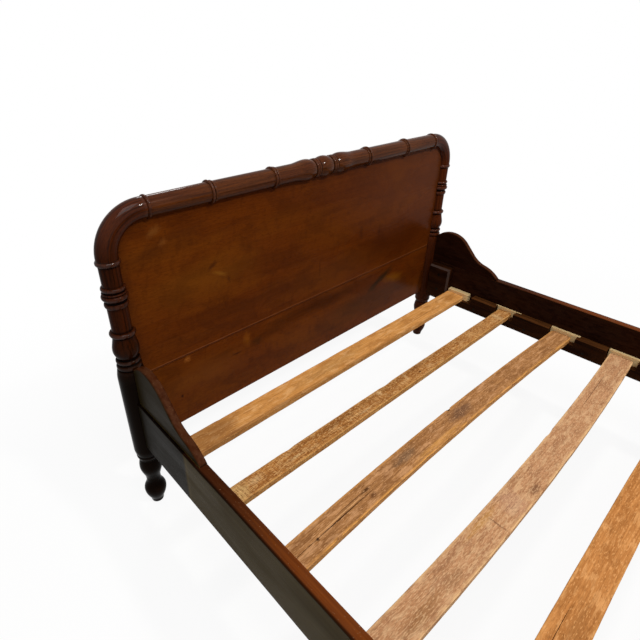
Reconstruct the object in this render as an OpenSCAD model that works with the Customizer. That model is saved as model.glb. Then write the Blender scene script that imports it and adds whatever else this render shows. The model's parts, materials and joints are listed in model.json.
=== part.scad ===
// Turned wooden bed frame: headboard and lower footboard with turned posts,
// round elbows and a ringed top rail, boarded panels, side rails with scroll
// crests, notched ledgers and loose slats.
// Millimetres. X runs across the bed, the head is at +Y, Z is up, and the
// origin is on the floor at the middle of the bed.

/* [Bed] */
// Distance between the post axes across the bed
post_span = 1386; // [1250:1:1600]
// Distance between the head and foot post axes
bed_length = 1980; // [1900:1:2150]
// Height of the headboard's turned rail, at its axis
head_rail_z = 911; // [870:1:1100]
// Height of the footboard's turned rail, at its axis
foot_rail_z = 751; // [746:1:860]

/* [Turned posts] */
// Diameter of the plain column that takes the side rail
column_d = 72; // [68:0.5:84]
// Height at which the column starts
column_bottom_z = 228; // [215:1:240]
// Height at which the column ends
column_top_z = 480; // [450:1:495]
// Diameter of the foot where it stands on the floor
foot_end_d = 36; // [28:0.5:40]
// Diameter of the ball of the foot
foot_ball_d = 64; // [56:0.5:68]
// Height of the ball's widest place
foot_ball_z = 54; // [46:1:60]
// Diameter of the neck above the ball
foot_neck_d = 42; // [34:0.5:48]
// Diameter of the cup above the neck
cup_d = 64.5; // [58:0.5:68]
// Height of the cup's widest place
cup_z = 151; // [140:1:160]
// Diameter of the bulb above the column
bulb_d = 66.6; // [60:0.2:72]
// Diameter of the post above the bulb
upper_post_d = 49.4; // [46:0.2:54]
// Height of the main one of the upper rings of the head posts
upper_rings_z = 718; // [700:0.5:726]

/* [Turned rail] */
// Diameter of the plain turned rail
turned_rail_d = 52.8; // [48:0.2:58]
// Diameter of the round elbow
elbow_d = 52; // [48:0.5:54]
// Radius of the elbow at its centre line
elbow_bend_r = 98; // [80:1:110]
// Distance of the inner rings from the middle of the rail
inner_ring_x = 204; // [180:1:260]
// Distance of the outer rings from the middle of the rail
outer_ring_x = 411; // [360:1:460]
// Diameter of the main rings
main_ring_d = 63.4; // [58:0.2:70]
// Diameter of the tenons that enter the elbows
tenon_d = 24; // [18:0.5:25]
// Length of those tenons
tenon_l = 28; // [20:1:34]

/* [Panels] */
// Thickness of the panel boards
panel_t = 13; // [10:0.5:18]
// Height of the panels' bottom edge
panel_bottom_z = 244.5; // [232:0.5:300]
// Height of the joint between the upper and the lower board
panel_seam_z = 472; // [400:1:560]
// Distance from the turned axes to the panel's edge in its groove
panel_inset = 14; // [13:0.5:17]
// Radius of the small bead along the joint
seam_bead_r = 3; // [2:0.1:4]
// Height of the tongue between the boards
tongue_h = 8; // [5:0.5:12]
// Thickness of the tongue
tongue_t = 4; // [3:0.5:5]

/* [Side rails] */
// Height of a side rail
rail_h = 157; // [140:1:175]
// Thickness of a side rail
rail_t = 27.5; // [24:0.5:36]
// Height of the rail's bottom edge
rail_bottom_z = 251; // [244:1:262]
// Depth of the housing in the column that takes the rail's end
housing_depth = 3; // [2:0.5:5]

/* [Scroll crests] */
// Thickness of a crest board
crest_t = 21; // [16:0.5:24]
// Height of the crest above the rail
crest_h = 137.5; // [125:0.5:160]
// Distance of the crest's highest place from the post axis
crest_peak_y = 101; // [95:1:130]
// Radius of the rounded top
crest_top_r = 95; // [80:1:100]
// Radius of the hollow
crest_hollow_r = 100; // [80:1:110]
// Radius of the rounded toe
crest_toe_r = 128; // [100:1:130]
// Steepest slope of the scroll
crest_slope = 46; // [42:1:50]
// Height of the blunt end of the toe
crest_end_h = 5; // [3:0.5:10]

/* [Ledgers and blocks] */
// Thickness of a ledger
ledger_t = 35; // [28:0.5:45]
// Height of a ledger
ledger_h = 61.7; // [52:0.1:75]
// Depth of the notches that hold the slats
notch_depth = 30; // [22:0.5:34]
// Room between a notch's head side and its slat
notch_back_gap = 8; // [2:0.5:10]
// Distance of a corner block from the post axis
block_y = 45; // [40:1:60]
// Length of a corner block
block_l = 66; // [50:1:68]
// Length of the right head block, which is longer
long_block_l = 92; // [50:1:93]
// Height of the corner blocks
block_h = 147; // [100:1:155]
// Bevel on the corner blocks' open edges
block_bevel = 7; // [2:0.5:12]

/* [Slats and pads] */
// Thickness of a slat
slat_t = 20; // [15:0.5:25]
// Distance from the post axes to the middle of the first and the last slat
end_slat_y = 168; // [166:1:180]
// Rounding of a slat's corners
slat_corner_r = 9; // [4:0.5:14]
// Gap between a slat's end and its pad
slat_end_gap = 2; // [1:0.5:4]

/* [Fittings] */
// Height of the rail plates and receiver plates
plate_h = 130; // [118:1:138]
// Width of the plates
plate_w = 18; // [15:0.5:22]
// Thickness of the plates
plate_t = 3; // [2.5:0.1:4]
// Distance between the two hooks of a plate
hook_pitch = 60; // [50:1:66]
// Thickness of a hook
hook_t = 5; // [4:0.5:6]
// Height of a hook's neck
hook_neck_h = 12; // [9:0.5:14]
// How far a hook drops behind its receiver plate
hook_drop = 10; // [7:0.5:12]
// Thickness of a hook's drop
hook_drop_t = 7; // [5:0.5:8]
// Diameter of the plate screws
plate_screw_d = 4; // [3:0.1:4.5]
// Length of the plate screws
plate_screw_l = 24; // [16:1:26]
// Diameter of the ledger and block screws
ledger_screw_d = 5; // [4:0.1:6]
// Length of the ledger and block screws
ledger_screw_l = 54; // [50:1:58]
// Diameter of the crest dowels
dowel_d = 8; // [6:0.5:10]
// Length of the crest dowels
dowel_l = 38; // [30:1:44]

/* [Clearances] */
// Room around a board in its groove or housing
joint_gap = 0.3; // [0.1:0.05:0.5]
// Room around a tenon, dowel or screw in its hole
peg_gap = 0.1; // [0.05:0.05:0.2]

/* [Hidden] */
$fn = 64;
overrun = 5;

walnut = [0.27, 0.12, 0.06];
mahogany = [0.36, 0.16, 0.07];
dark_stain = [0.12, 0.06, 0.04];
old_pine = [0.66, 0.44, 0.25];
new_pine = [0.88, 0.74, 0.50];
iron = [0.28, 0.26, 0.25];

half_span = post_span / 2;
half_length = bed_length / 2;
column_r = column_d / 2;
upper_post_r = upper_post_d / 2;
turned_rail_r = turned_rail_d / 2;
main_ring_r = main_ring_d / 2;
elbow_r = elbow_d / 2;
tenon_r = tenon_d / 2;

// The turned rail ends where the elbow's bend starts
turned_rail_half = half_span - elbow_bend_r;
// Plain lips between the last rings and the elbow, and the rings' half widths
rail_lip = 8;
post_lip = 2;
end_ring_half = 4.3;
post_ring_half = 6;
main_ring_half = 4.2;

rail_top_z = rail_bottom_z + rail_h;
rail_mid_z = rail_bottom_z + rail_h / 2;
// Distance of a side rail's end from the post axis
rail_seat = column_r - housing_depth;
housing_floor = rail_seat - joint_gap;
rail_inner_x = half_span - rail_t / 2;

ledger_top_z = rail_bottom_z + ledger_h;
notch_floor_z = ledger_top_z - notch_depth;
ledger_inner_x = rail_inner_x - ledger_t;
ledger_screw_z = rail_bottom_z + (ledger_h - notch_depth) / 2;

screw_head_h = 2.4;
plate_screw_pitch = plate_h / 2 - 9;
slot_w = hook_t + 1;
slot_h = hook_neck_h + hook_drop + 2;
dowel_sink = 0.55 * dowel_l;
dowel_ys = [84, 226];

// Each slat was set by hand, so each has its own row:
// shift towards the foot, width, skew, bow towards the head,
// room on the notch's foot side, pad thickness, pad length
SLATS = [
    [2, 75, -17, 0, 37, 23, 92],
    [4, 53, -29, 0, 14, 7, 102],
    [13, 69, -37, 14, 16, 12, 100],
    [18, 72, -8, -18, 16, 12, 98],
    [31, 72, -10, 4, 15, 10, 100],
    [30, 66, 8, 0, 15, 9, 96],
    [22, 70, -12, 5, 15, 12, 98],
    [12, 62, 6, -4, 15, 8, 96],
    [0, 74, -6, 0, 15, 14, 86]
];
slat_count = len(SLATS);
slat_pitch = (bed_length - 2 * end_slat_y) / (slat_count - 1);
// The pads sit a little towards the foot of their slats
pad_shift = 8;

// Runs of a turned outline, as [radius, height] points

// A round bead of the given half width on a base radius
function bead(z, r, half, base, n = 8) =
    [for (i = [0:n]) let (a = 180 * i / n) [base + (r - base) * sin(a), z - half * cos(a)]];

// A swelling that starts steeply and ends level
function swell(r0, z0, r1, z1, n = 6) =
    [for (i = [0:n]) let (t = i / n) [r0 + (r1 - r0) * sin(90 * t), z0 + (z1 - z0) * t]];

// A rounding that starts level and ends steeply
function rounding(r0, z0, r1, z1, n = 6) =
    [for (i = [0:n]) let (t = i / n) [r1 + (r0 - r1) * cos(90 * t), z0 + (z1 - z0) * t]];

// A double curve that starts and ends level
function ogee(r0, z0, r1, z1, n = 9) =
    [for (i = [0:n]) let (t = i / n) [r0 + (r1 - r0) * (1 - cos(180 * t)) / 2, z0 + (z1 - z0) * t]];

// Foot, neck, cup and shoulder, up to the start of the column
function foot_turning() = let (
    ball_start = 15, neck_half = 3, groove_r = 27, groove_z = column_bottom_z - 46,
    ring_r = 32.8, ring_z = column_bottom_z - 28
) concat(
    [[0, 0], [foot_end_d / 2, 0]],
    swell(foot_end_d / 2 + 2.8, ball_start, foot_ball_d / 2, foot_ball_z),
    ogee(foot_ball_d / 2, foot_ball_z, foot_neck_d / 2, foot_ball_z + 38),
    ogee(foot_neck_d / 2, foot_ball_z + 38 + 2 * neck_half, cup_d / 2, cup_z),
    rounding(cup_d / 2, cup_z, groove_r, groove_z),
    swell(groove_r, groove_z + 2.5, ring_r, ring_z),
    [[ring_r, ring_z + 2], [ring_r - 1.4, ring_z + 3.5]],
    swell(ring_r - 0.6, ring_z + 5, column_r, column_bottom_z)
);

// Beads, neck, bulb and ring that stand on the column
function bulb_turning() = let (z = column_top_z) concat(
    rounding(column_r, z, column_r - 4, z + 28.5),
    [[column_r - 7, z + 30]],
    bead(z + 37.5, column_r - 4, 6, column_r - 7),
    [[upper_post_r + 1.5, z + 46.5]],
    bead(z + 55, upper_post_r + 6.5, 6, upper_post_r + 1.5),
    swell(upper_post_r + 0.5, z + 62.5, bulb_d / 2, z + 87),
    ogee(bulb_d / 2, z + 87, upper_post_r + 2.5, z + 127),
    bead(z + 135.5, upper_post_r + 7.8, 7, upper_post_r)
);

// The rings that only the taller head posts have, with a fillet on the main one
function upper_rings() = let (z = upper_rings_z) concat(
    bead(z - 20.8, upper_post_r + 4.2, 6.8, upper_post_r),
    bead(z, upper_post_r + 7.4, 7.4, upper_post_r),
    bead(z + 10.4, upper_post_r + 4.8, 2.7, upper_post_r, 6),
    bead(z + 22, upper_post_r + 4.8, 5.5, upper_post_r - 0.5)
);

function post_turning(rail_z, ringed) = let (top_z = rail_z - elbow_bend_r) concat(
    foot_turning(),
    bulb_turning(),
    ringed ? upper_rings() : [],
    bead(top_z - post_lip - post_ring_half, elbow_r + 3.3, post_ring_half, upper_post_r - 0.4),
    [[elbow_r, top_z - post_lip + 0.8], [elbow_r, top_z]],
    [[tenon_r, top_z], [tenon_r, top_z + tenon_l], [0, top_z + tenon_l]]
);

// One half of the turned rail, from its middle to its end
function half_rail_turning() = let (r = turned_rail_r, end = turned_rail_half) concat(
    rounding(r + 5.4, 0, r, 25.5, 8),
    [[r - 2.2, 26.8]],
    bead(32.2, r + 2.5, 4.2, r, 6),
    bead(40.8, r + 2.5, 4.2, r, 6),
    [[r - 2.2, 46.2]],
    swell(r, 47.5, r + 5, 73),
    ogee(r + 5, 73, r, 130),
    bead(inner_ring_x - 9.4, r + 3, 3.6, r, 6),
    [[r - 1.6, inner_ring_x - main_ring_half - 0.8]],
    bead(inner_ring_x, main_ring_r - 0.3, main_ring_half, r),
    bead(outer_ring_x - 9.4, r + 3, 3.6, r, 6),
    [[r - 1.6, outer_ring_x - main_ring_half - 0.8]],
    bead(outer_ring_x, main_ring_r, main_ring_half, r),
    bead(end - rail_lip - end_ring_half, r + 2.8, end_ring_half, r - 0.8),
    [[r - 1.8, end - rail_lip + 0.8], [elbow_r, end - rail_lip + 1.6], [elbow_r, end]],
    [[tenon_r, end], [tenon_r, end + tenon_l]]
);

function rail_turning() = let (half = half_rail_turning(), last = len(half) - 1) concat(
    [[0, -turned_rail_half - tenon_l]],
    [for (i = [last:-1:1]) [half[i][0], -half[i][1]]],
    half,
    [[0, turned_rail_half + tenon_l]]
);

// Points of an arc in the crest's plane, by the slope angle of its edge
function slope_arc(centre, r, from, to, n) =
    [for (i = [0:n]) let (a = from + (to - from) * i / n)
        [centre[0] + r * sin(a), centre[1] + r * cos(a)]];

// The scroll's outline, as [distance from the post axis, height above the rail]
function crest_outline() = let (
    toe_start = 12, toe_end = 45, s = crest_slope,
    top_centre = [crest_peak_y, crest_h - crest_top_r],
    start = asin((rail_seat - crest_peak_y) / crest_top_r),
    drop = crest_top_r * (1 - cos(s)) + crest_hollow_r * (cos(toe_start) - cos(s))
        + crest_toe_r * (cos(toe_start) - cos(toe_end)),
    straight = (crest_h - crest_end_h - drop) / sin(s),
    run = top_centre + crest_top_r * [sin(s), cos(s)] + straight * [cos(s), -sin(s)],
    hollow_centre = run + crest_hollow_r * [sin(s), cos(s)],
    hollow_end = hollow_centre - crest_hollow_r * [sin(toe_start), cos(toe_start)],
    toe_centre = hollow_end - crest_toe_r * [sin(toe_start), cos(toe_start)]
) concat(
    [[rail_seat, 0]],
    slope_arc(top_centre, crest_top_r, start, s, 14),
    slope_arc(hollow_centre, -crest_hollow_r, s, toe_start, 7),
    slope_arc(toe_centre, crest_toe_r, toe_start + 5, toe_end, 6),
    [[toe_centre[0] + crest_toe_r * sin(toe_end) + 1, 0]]
);

// Height of the crest's end at the post
crest_post_z = rail_top_z + crest_outline()[1][1];

// Middle of slat k's chord, measured along Y
function slat_y(k) = half_length - end_slat_y - slat_pitch * (k - 1) - SLATS[k - 1][0];
function slat_w(k) = SLATS[k - 1][1];
function slat_half_l(k) = rail_inner_x - SLATS[k - 1][5] - slat_end_gap;
// Middle of slat k at its left (-1) or right (1) end
function slat_end_mid(k, side) = slat_y(k) + side * SLATS[k - 1][2] / 2;
// Middle line of slat k at a place across the bed
function slat_line(k, x) = let (u = x / slat_half_l(k))
    slat_y(k) + u * SLATS[k - 1][2] / 2 + (1 - u * u) * SLATS[k - 1][3];

// Corner of the bed: the children are drawn for the left head corner, with
// the post's axis on Z, the bed's middle towards +X and the foot towards -Y
module corner(right = false, foot = false) {
    if (foot) mirror([0, 1, 0]) head_corner(right) children();
    else head_corner(right) children();
}

module head_corner(right) {
    if (right) mirror([1, 0, 0]) translate([-half_span, half_length, 0]) children();
    else translate([-half_span, half_length, 0]) children();
}

module each_corner() {
    for (right = [false, true], foot = [false, true]) corner(right, foot) children();
}

module at_end(foot) {
    if (foot) mirror([0, 1, 0]) translate([0, half_length, 0]) children();
    else translate([0, half_length, 0]) children();
}

// Whole panel, standing on the board's middle plane, grown by a clearance
module panel_solid(rail_z, bottom_z, grow = 0) {
    inset = panel_inset - grow;
    corner_x = half_span - elbow_bend_r;
    corner_z = rail_z - elbow_bend_r;
    bend = elbow_bend_r - inset;
    translate([0, panel_t / 2 + grow, 0]) rotate([90, 0, 0])
        linear_extrude(height = panel_t + 2 * grow) {
            translate([-half_span + inset, bottom_z])
                square([post_span - 2 * inset, corner_z - bottom_z]);
            translate([-corner_x, corner_z - 1]) square([2 * corner_x, bend + 1]);
            for (side = [-1, 1]) translate([side * corner_x, corner_z]) circle(r = bend, $fn = 96);
        }
}

// Groove that takes the panel, seen from the left post's axis
module panel_groove(rail_z) {
    translate([half_span, 0, 0]) panel_solid(rail_z, panel_bottom_z - joint_gap, joint_gap);
}

// Housing in the column for the ends of the side rail and the crest
module rail_housing() {
    depth = column_r + overrun - housing_floor;
    translate([-rail_t / 2 - joint_gap, -column_r - overrun, rail_bottom_z - joint_gap])
        cube([rail_t + 2 * joint_gap, depth, rail_h + 2 * joint_gap]);
    translate([rail_t / 2 - crest_t - joint_gap, -column_r - overrun, rail_top_z])
        cube([crest_t + 2 * joint_gap, depth, crest_post_z - rail_top_z + joint_gap]);
}

// A plate standing on a plane across Y, with its outer face at y
module upright_plate(y, grow = 0) {
    translate([-plate_w / 2 - grow, y, rail_mid_z - plate_h / 2 - grow])
        cube([plate_w + 2 * grow, plate_t, plate_h + 2 * grow]);
}

// Screws of a plate: head at y, running along Y in the given direction
module plate_screws(y, way, grow = 0) {
    for (step = [-1, 0, 1])
        translate([0, y, rail_mid_z + step * plate_screw_pitch])
            rotate([way > 0 ? -90 : 90, 0, 0])
                screw(plate_screw_d, plate_screw_l, grow);
}

// Countersunk screw along +Z, its head's face on Z = 0
module screw(d, l, grow = 0) {
    cylinder(d = d + 2 * grow, h = l + grow);
    cylinder(d1 = 2 * d + 2 * grow, d2 = d + 2 * grow, h = screw_head_h);
}

// Foot of slot number i of a receiver plate, 0 or 1
function slot_z(i) = rail_mid_z + (i - 0.5) * hook_pitch - hook_neck_h / 2 - joint_gap;

module turned_post(rail_z, ringed) {
    pocket_depth = hook_drop_t + 2;
    difference() {
        rotate_extrude() polygon(post_turning(rail_z, ringed));
        panel_groove(rail_z);
        rail_housing();
        upright_plate(-housing_floor, joint_gap / 3);
        for (i = [0, 1])
            translate([-slot_w / 2 - 1, -housing_floor, slot_z(i) - hook_drop - 1])
                cube([slot_w + 2, plate_t + pocket_depth, slot_h + hook_drop + 1]);
        plate_screws(-housing_floor, 1, peg_gap);
    }
}

module elbow(rail_z) {
    bend_z = rail_z - elbow_bend_r;
    bore_l = tenon_l + 0.5;
    bore_d = tenon_d + 2 * peg_gap;
    difference() {
        translate([elbow_bend_r, 0, bend_z]) rotate([90, 0, 0]) rotate([0, 0, 90])
            rotate_extrude(angle = 90) translate([elbow_bend_r, 0]) circle(d = elbow_d);
        panel_groove(rail_z);
        translate([0, 0, bend_z - overrun]) cylinder(d = bore_d, h = bore_l + overrun);
        translate([elbow_bend_r + overrun, 0, rail_z]) rotate([0, -90, 0])
            cylinder(d = bore_d, h = bore_l + overrun);
    }
}

module turned_rail(rail_z) {
    difference() {
        translate([0, 0, rail_z]) rotate([0, 90, 0]) rotate_extrude() polygon(rail_turning());
        panel_solid(rail_z, panel_bottom_z, joint_gap);
    }
}

module panel_upper(rail_z) {
    difference() {
        panel_solid(rail_z, panel_seam_z);
        translate([-half_span, -tongue_t / 2 - joint_gap / 2, panel_seam_z - 1])
            cube([post_span, tongue_t + joint_gap, tongue_h + 1 + joint_gap]);
    }
}

// The lower board carries the tongue and the bead, which faces the mattress
module panel_lower(rail_z) {
    width = post_span - 2 * panel_inset;
    strip_h = 2 * seam_bead_r + 1.5;
    front = -panel_t / 2;
    difference() {
        translate([-width / 2, front, panel_bottom_z])
            cube([width, panel_t, panel_seam_z - panel_bottom_z]);
        translate([-half_span, front - 1, panel_seam_z - strip_h])
            cube([post_span, seam_bead_r + 1, strip_h + 1]);
    }
    translate([-width / 2, -tongue_t / 2, panel_seam_z - 1]) cube([width, tongue_t, tongue_h + 1]);
    translate([-width / 2, front + seam_bead_r, panel_seam_z - seam_bead_r - 0.2])
        rotate([0, 90, 0]) cylinder(r = seam_bead_r, h = width);
}

// Left side rail, bored for its head block's screws
module side_rail(head_block_l) {
    end_y = half_length - rail_seat;
    difference() {
        translate([-half_span - rail_t / 2, -end_y, rail_bottom_z])
            cube([rail_t, 2 * end_y, rail_h]);
        for (foot = [false, true]) corner(false, foot) {
            upright_plate(-rail_seat - plate_t, joint_gap / 3);
            upright_plate(-rail_seat, joint_gap / 3);
            plate_screws(-rail_seat, -1, peg_gap);
            crest_dowel_pair(peg_gap);
        }
        ledger_screw_row(peg_gap);
        corner() block_screw_pair(head_block_l, peg_gap);
        corner(foot = true) block_screw_pair(block_l, peg_gap);
    }
}

module crest() {
    difference() {
        translate([rail_t / 2, 0, rail_top_z]) rotate([0, 0, -90]) rotate([90, 0, 0])
            linear_extrude(height = crest_t) polygon(crest_outline());
        crest_dowel_pair(peg_gap);
    }
}

module crest_dowel_pair(grow = 0) {
    for (y = dowel_ys)
        translate([(rail_t - crest_t) / 2, -y, rail_top_z - dowel_sink - grow])
            cylinder(d = dowel_d + 2 * grow, h = dowel_l + 2 * grow);
}

// Block that fills the corner beside the post, bevelled on its open edges
module corner_block(l) {
    b = block_bevel;
    t = ledger_t;
    h = block_h;
    difference() {
        translate([rail_t / 2, -block_y - l, rail_bottom_z]) intersection() {
            translate([0, l, 0]) rotate([90, 0, 0]) linear_extrude(height = l)
                polygon([[0, 0], [t, 0], [t, h - b], [t - b, h], [0, h]]);
            linear_extrude(height = h) polygon([[0, 0], [t - b, 0], [t, b], [t, l], [0, l]]);
        }
        block_screw_pair(l, peg_gap);
    }
}

module block_screw_pair(l, grow = 0) {
    for (part = [0.3, 0.75])
        translate([rail_t / 2 + ledger_t, -block_y - l / 2, rail_bottom_z + part * block_h])
            rotate([0, -90, 0]) screw(ledger_screw_d, ledger_screw_l, grow);
}

// One notched ledger on the left (-1) or right (1) rail
module ledger(side, head_block_l) {
    head_y = half_length - block_y - head_block_l - joint_gap;
    foot_y = -half_length + block_y + block_l + joint_gap;
    low_x = side < 0 ? -rail_inner_x : ledger_inner_x;
    difference() {
        translate([low_x, foot_y, rail_bottom_z]) cube([ledger_t, head_y - foot_y, ledger_h]);
        for (k = [1:slat_count]) {
            notch(k, side, low_x);
            slat_pad(k, side, 2 * joint_gap);
        }
        if (side < 0) ledger_screw_row(peg_gap);
        else mirrored_screw_row(peg_gap);
    }
}

module notch(k, side, low_x) {
    back = slat_end_mid(k, side) + slat_w(k) / 2 + notch_back_gap;
    front = slat_end_mid(k, side) - slat_w(k) / 2 - SLATS[k - 1][4];
    translate([low_x - overrun, front, notch_floor_z])
        cube([ledger_t + 2 * overrun, back - front, notch_depth + overrun]);
}

// Pad of slat k against the rail, on the notch's floor
module slat_pad(k, side, grow = 0) {
    t = SLATS[k - 1][5];
    l = SLATS[k - 1][6];
    middle = slat_end_mid(k, side) - pad_shift;
    low_x = side < 0 ? -rail_inner_x : rail_inner_x - t;
    translate([low_x - grow, middle - l / 2 - grow, notch_floor_z])
        cube([t + 2 * grow, l + 2 * grow, notch_depth + grow]);
}

module slat_pads(side) {
    for (k = [1:slat_count]) slat_pad(k, side);
}

// Ledger screws of the left side, halfway between neighbouring slats
module ledger_screw_row(grow = 0) {
    for (k = [1:slat_count - 1])
        translate([-ledger_inner_x, (slat_y(k) + slat_y(k + 1)) / 2, ledger_screw_z])
            rotate([0, -90, 0]) screw(ledger_screw_d, ledger_screw_l, grow);
}

module mirrored_screw_row(grow = 0) {
    mirror([1, 0, 0]) ledger_screw_row(grow);
}

// Rounded corner of a slat's outline, as angles of an arc
function slat_corner_points(x, y, from) =
    [for (i = [0:3]) let (a = from + 30 * i)
        [x + slat_corner_r * cos(a), y + slat_corner_r * sin(a)]];

module slat(k) {
    l = slat_half_l(k);
    w = slat_w(k) / 2;
    c = slat_corner_r;
    steps = SLATS[k - 1][3] == 0 ? 1 : 12;
    edge = l - c;
    left = slat_line(k, -edge);
    right = slat_line(k, edge);
    color(old_pine) translate([0, 0, notch_floor_z]) linear_extrude(height = slat_t) polygon(concat(
        slat_corner_points(edge, right + w - c, 0),
        [for (i = [1:steps - 1]) let (x = edge - 2 * edge * i / steps) [x, slat_line(k, x) + w]],
        slat_corner_points(-edge, left + w - c, 90),
        slat_corner_points(-edge, left - w + c, 180),
        [for (i = [1:steps - 1]) let (x = -edge + 2 * edge * i / steps) [x, slat_line(k, x) - w]],
        slat_corner_points(edge, right - w + c, 270)
    ));
}

// Rail plate with two hooks that drop behind the receiver plate
module rail_plate() {
    drop_y = -housing_floor + plate_t + joint_gap;
    difference() {
        upright_plate(-rail_seat - plate_t);
        plate_screws(-rail_seat, -1, peg_gap);
    }
    for (i = [0, 1]) {
        neck_z = slot_z(i) + joint_gap;
        translate([-hook_t / 2, -rail_seat, neck_z])
            cube([hook_t, drop_y + hook_drop_t + rail_seat, hook_neck_h]);
        translate([-hook_t / 2, drop_y, neck_z - hook_drop])
            cube([hook_t, hook_drop_t, hook_drop + 1]);
    }
}

module receiver() {
    difference() {
        upright_plate(-housing_floor);
        for (i = [0, 1])
            translate([-slot_w / 2, -housing_floor - overrun, slot_z(i)])
                cube([slot_w, plate_t + 2 * overrun, slot_h]);
        plate_screws(-housing_floor, 1, peg_gap);
    }
}

module head_post_left() color(walnut) corner() turned_post(head_rail_z, true);
module head_post_right() color(walnut) corner(right = true) turned_post(head_rail_z, true);
module head_elbow_left() color(walnut) corner() elbow(head_rail_z);
module head_elbow_right() color(walnut) corner(right = true) elbow(head_rail_z);
module head_top_rail() color(walnut) at_end(false) turned_rail(head_rail_z);
module head_panel_upper() color(mahogany) at_end(false) panel_upper(head_rail_z);
module head_panel_lower() color(mahogany) at_end(false) panel_lower(head_rail_z);
module foot_post_left() color(walnut) corner(foot = true) turned_post(foot_rail_z, false);
module foot_post_right() color(walnut) corner(right = true, foot = true) turned_post(foot_rail_z, false);
module foot_elbow_left() color(walnut) corner(foot = true) elbow(foot_rail_z);
module foot_elbow_right() color(walnut) corner(right = true, foot = true) elbow(foot_rail_z);
module foot_top_rail() color(walnut) at_end(true) turned_rail(foot_rail_z);
module foot_panel_upper() color(mahogany) at_end(true) panel_upper(foot_rail_z);
module foot_panel_lower() color(mahogany) at_end(true) panel_lower(foot_rail_z);
module side_rail_left() color(walnut) side_rail(block_l);
module side_rail_right() color(walnut) mirror([1, 0, 0]) side_rail(long_block_l);
module crest_head_left() color(walnut) corner() crest();
module crest_head_right() color(walnut) corner(right = true) crest();
module crest_foot_left() color(walnut) corner(foot = true) crest();
module crest_foot_right() color(walnut) corner(right = true, foot = true) crest();
module corner_block_head_left() color(dark_stain) corner() corner_block(block_l);
module corner_block_head_right() color(dark_stain) corner(right = true) corner_block(long_block_l);
module corner_block_foot_left() color(dark_stain) corner(foot = true) corner_block(block_l);
module corner_block_foot_right() color(dark_stain)
    corner(right = true, foot = true) corner_block(block_l);
module ledger_left() color(dark_stain) ledger(-1, block_l);
module ledger_right() color(dark_stain) ledger(1, long_block_l);
module slat_pads_left() color(new_pine) slat_pads(-1);
module slat_pads_right() color(new_pine) slat_pads(1);
module rail_plate_head_left() color(iron) corner() rail_plate();
module rail_plate_head_right() color(iron) corner(right = true) rail_plate();
module rail_plate_foot_left() color(iron) corner(foot = true) rail_plate();
module rail_plate_foot_right() color(iron) corner(right = true, foot = true) rail_plate();
module receiver_head_left() color(iron) corner() receiver();
module receiver_head_right() color(iron) corner(right = true) receiver();
module receiver_foot_left() color(iron) corner(foot = true) receiver();
module receiver_foot_right() color(iron) corner(right = true, foot = true) receiver();
module rail_plate_screws() color(iron) each_corner() plate_screws(-rail_seat, -1);
module receiver_screws() color(iron) each_corner() plate_screws(-housing_floor, 1);
module crest_dowels() color(old_pine) each_corner() crest_dowel_pair();
module ledger_screws_left() color(iron) ledger_screw_row();
module ledger_screws_right() color(iron) mirrored_screw_row();
module block_screws() color(iron) {
    for (foot = [false, true]) corner(false, foot) block_screw_pair(block_l);
    corner(true) block_screw_pair(long_block_l);
    corner(true, true) block_screw_pair(block_l);
}

head_post_left();
head_post_right();
head_elbow_left();
head_elbow_right();
head_top_rail();
head_panel_upper();
head_panel_lower();
foot_post_left();
foot_post_right();
foot_elbow_left();
foot_elbow_right();
foot_top_rail();
foot_panel_upper();
foot_panel_lower();
side_rail_left();
side_rail_right();
crest_head_left();
crest_head_right();
crest_foot_left();
crest_foot_right();
corner_block_head_left();
corner_block_head_right();
corner_block_foot_left();
corner_block_foot_right();
ledger_left();
ledger_right();
slat_pads_left();
slat_pads_right();
slat(1);  // slat_1
slat(2);  // slat_2
slat(3);  // slat_3
slat(4);  // slat_4
slat(5);  // slat_5
slat(6);  // slat_6
slat(7);  // slat_7
slat(8);  // slat_8
slat(9);  // slat_9
rail_plate_head_left();
rail_plate_head_right();
rail_plate_foot_left();
rail_plate_foot_right();
receiver_head_left();
receiver_head_right();
receiver_foot_left();
receiver_foot_right();
rail_plate_screws();
receiver_screws();
crest_dowels();
ledger_screws_left();
ledger_screws_right();
block_screws();
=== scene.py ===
"""Looks of the turned wooden bed frame.

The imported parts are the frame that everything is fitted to. The turned
members, boards, crests, slats and pads are made here as finer meshes that
stand for their nodes. Panels, ledgers, blocks, iron fittings, screws and
dowels keep their nodes and get their finish. Lengths are in metres: the head is
towards +Y, the left side towards -X.
"""
import json
import math

import bmesh
import bpy
import numpy as np
from mathutils import Matrix, Vector, noise

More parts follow.
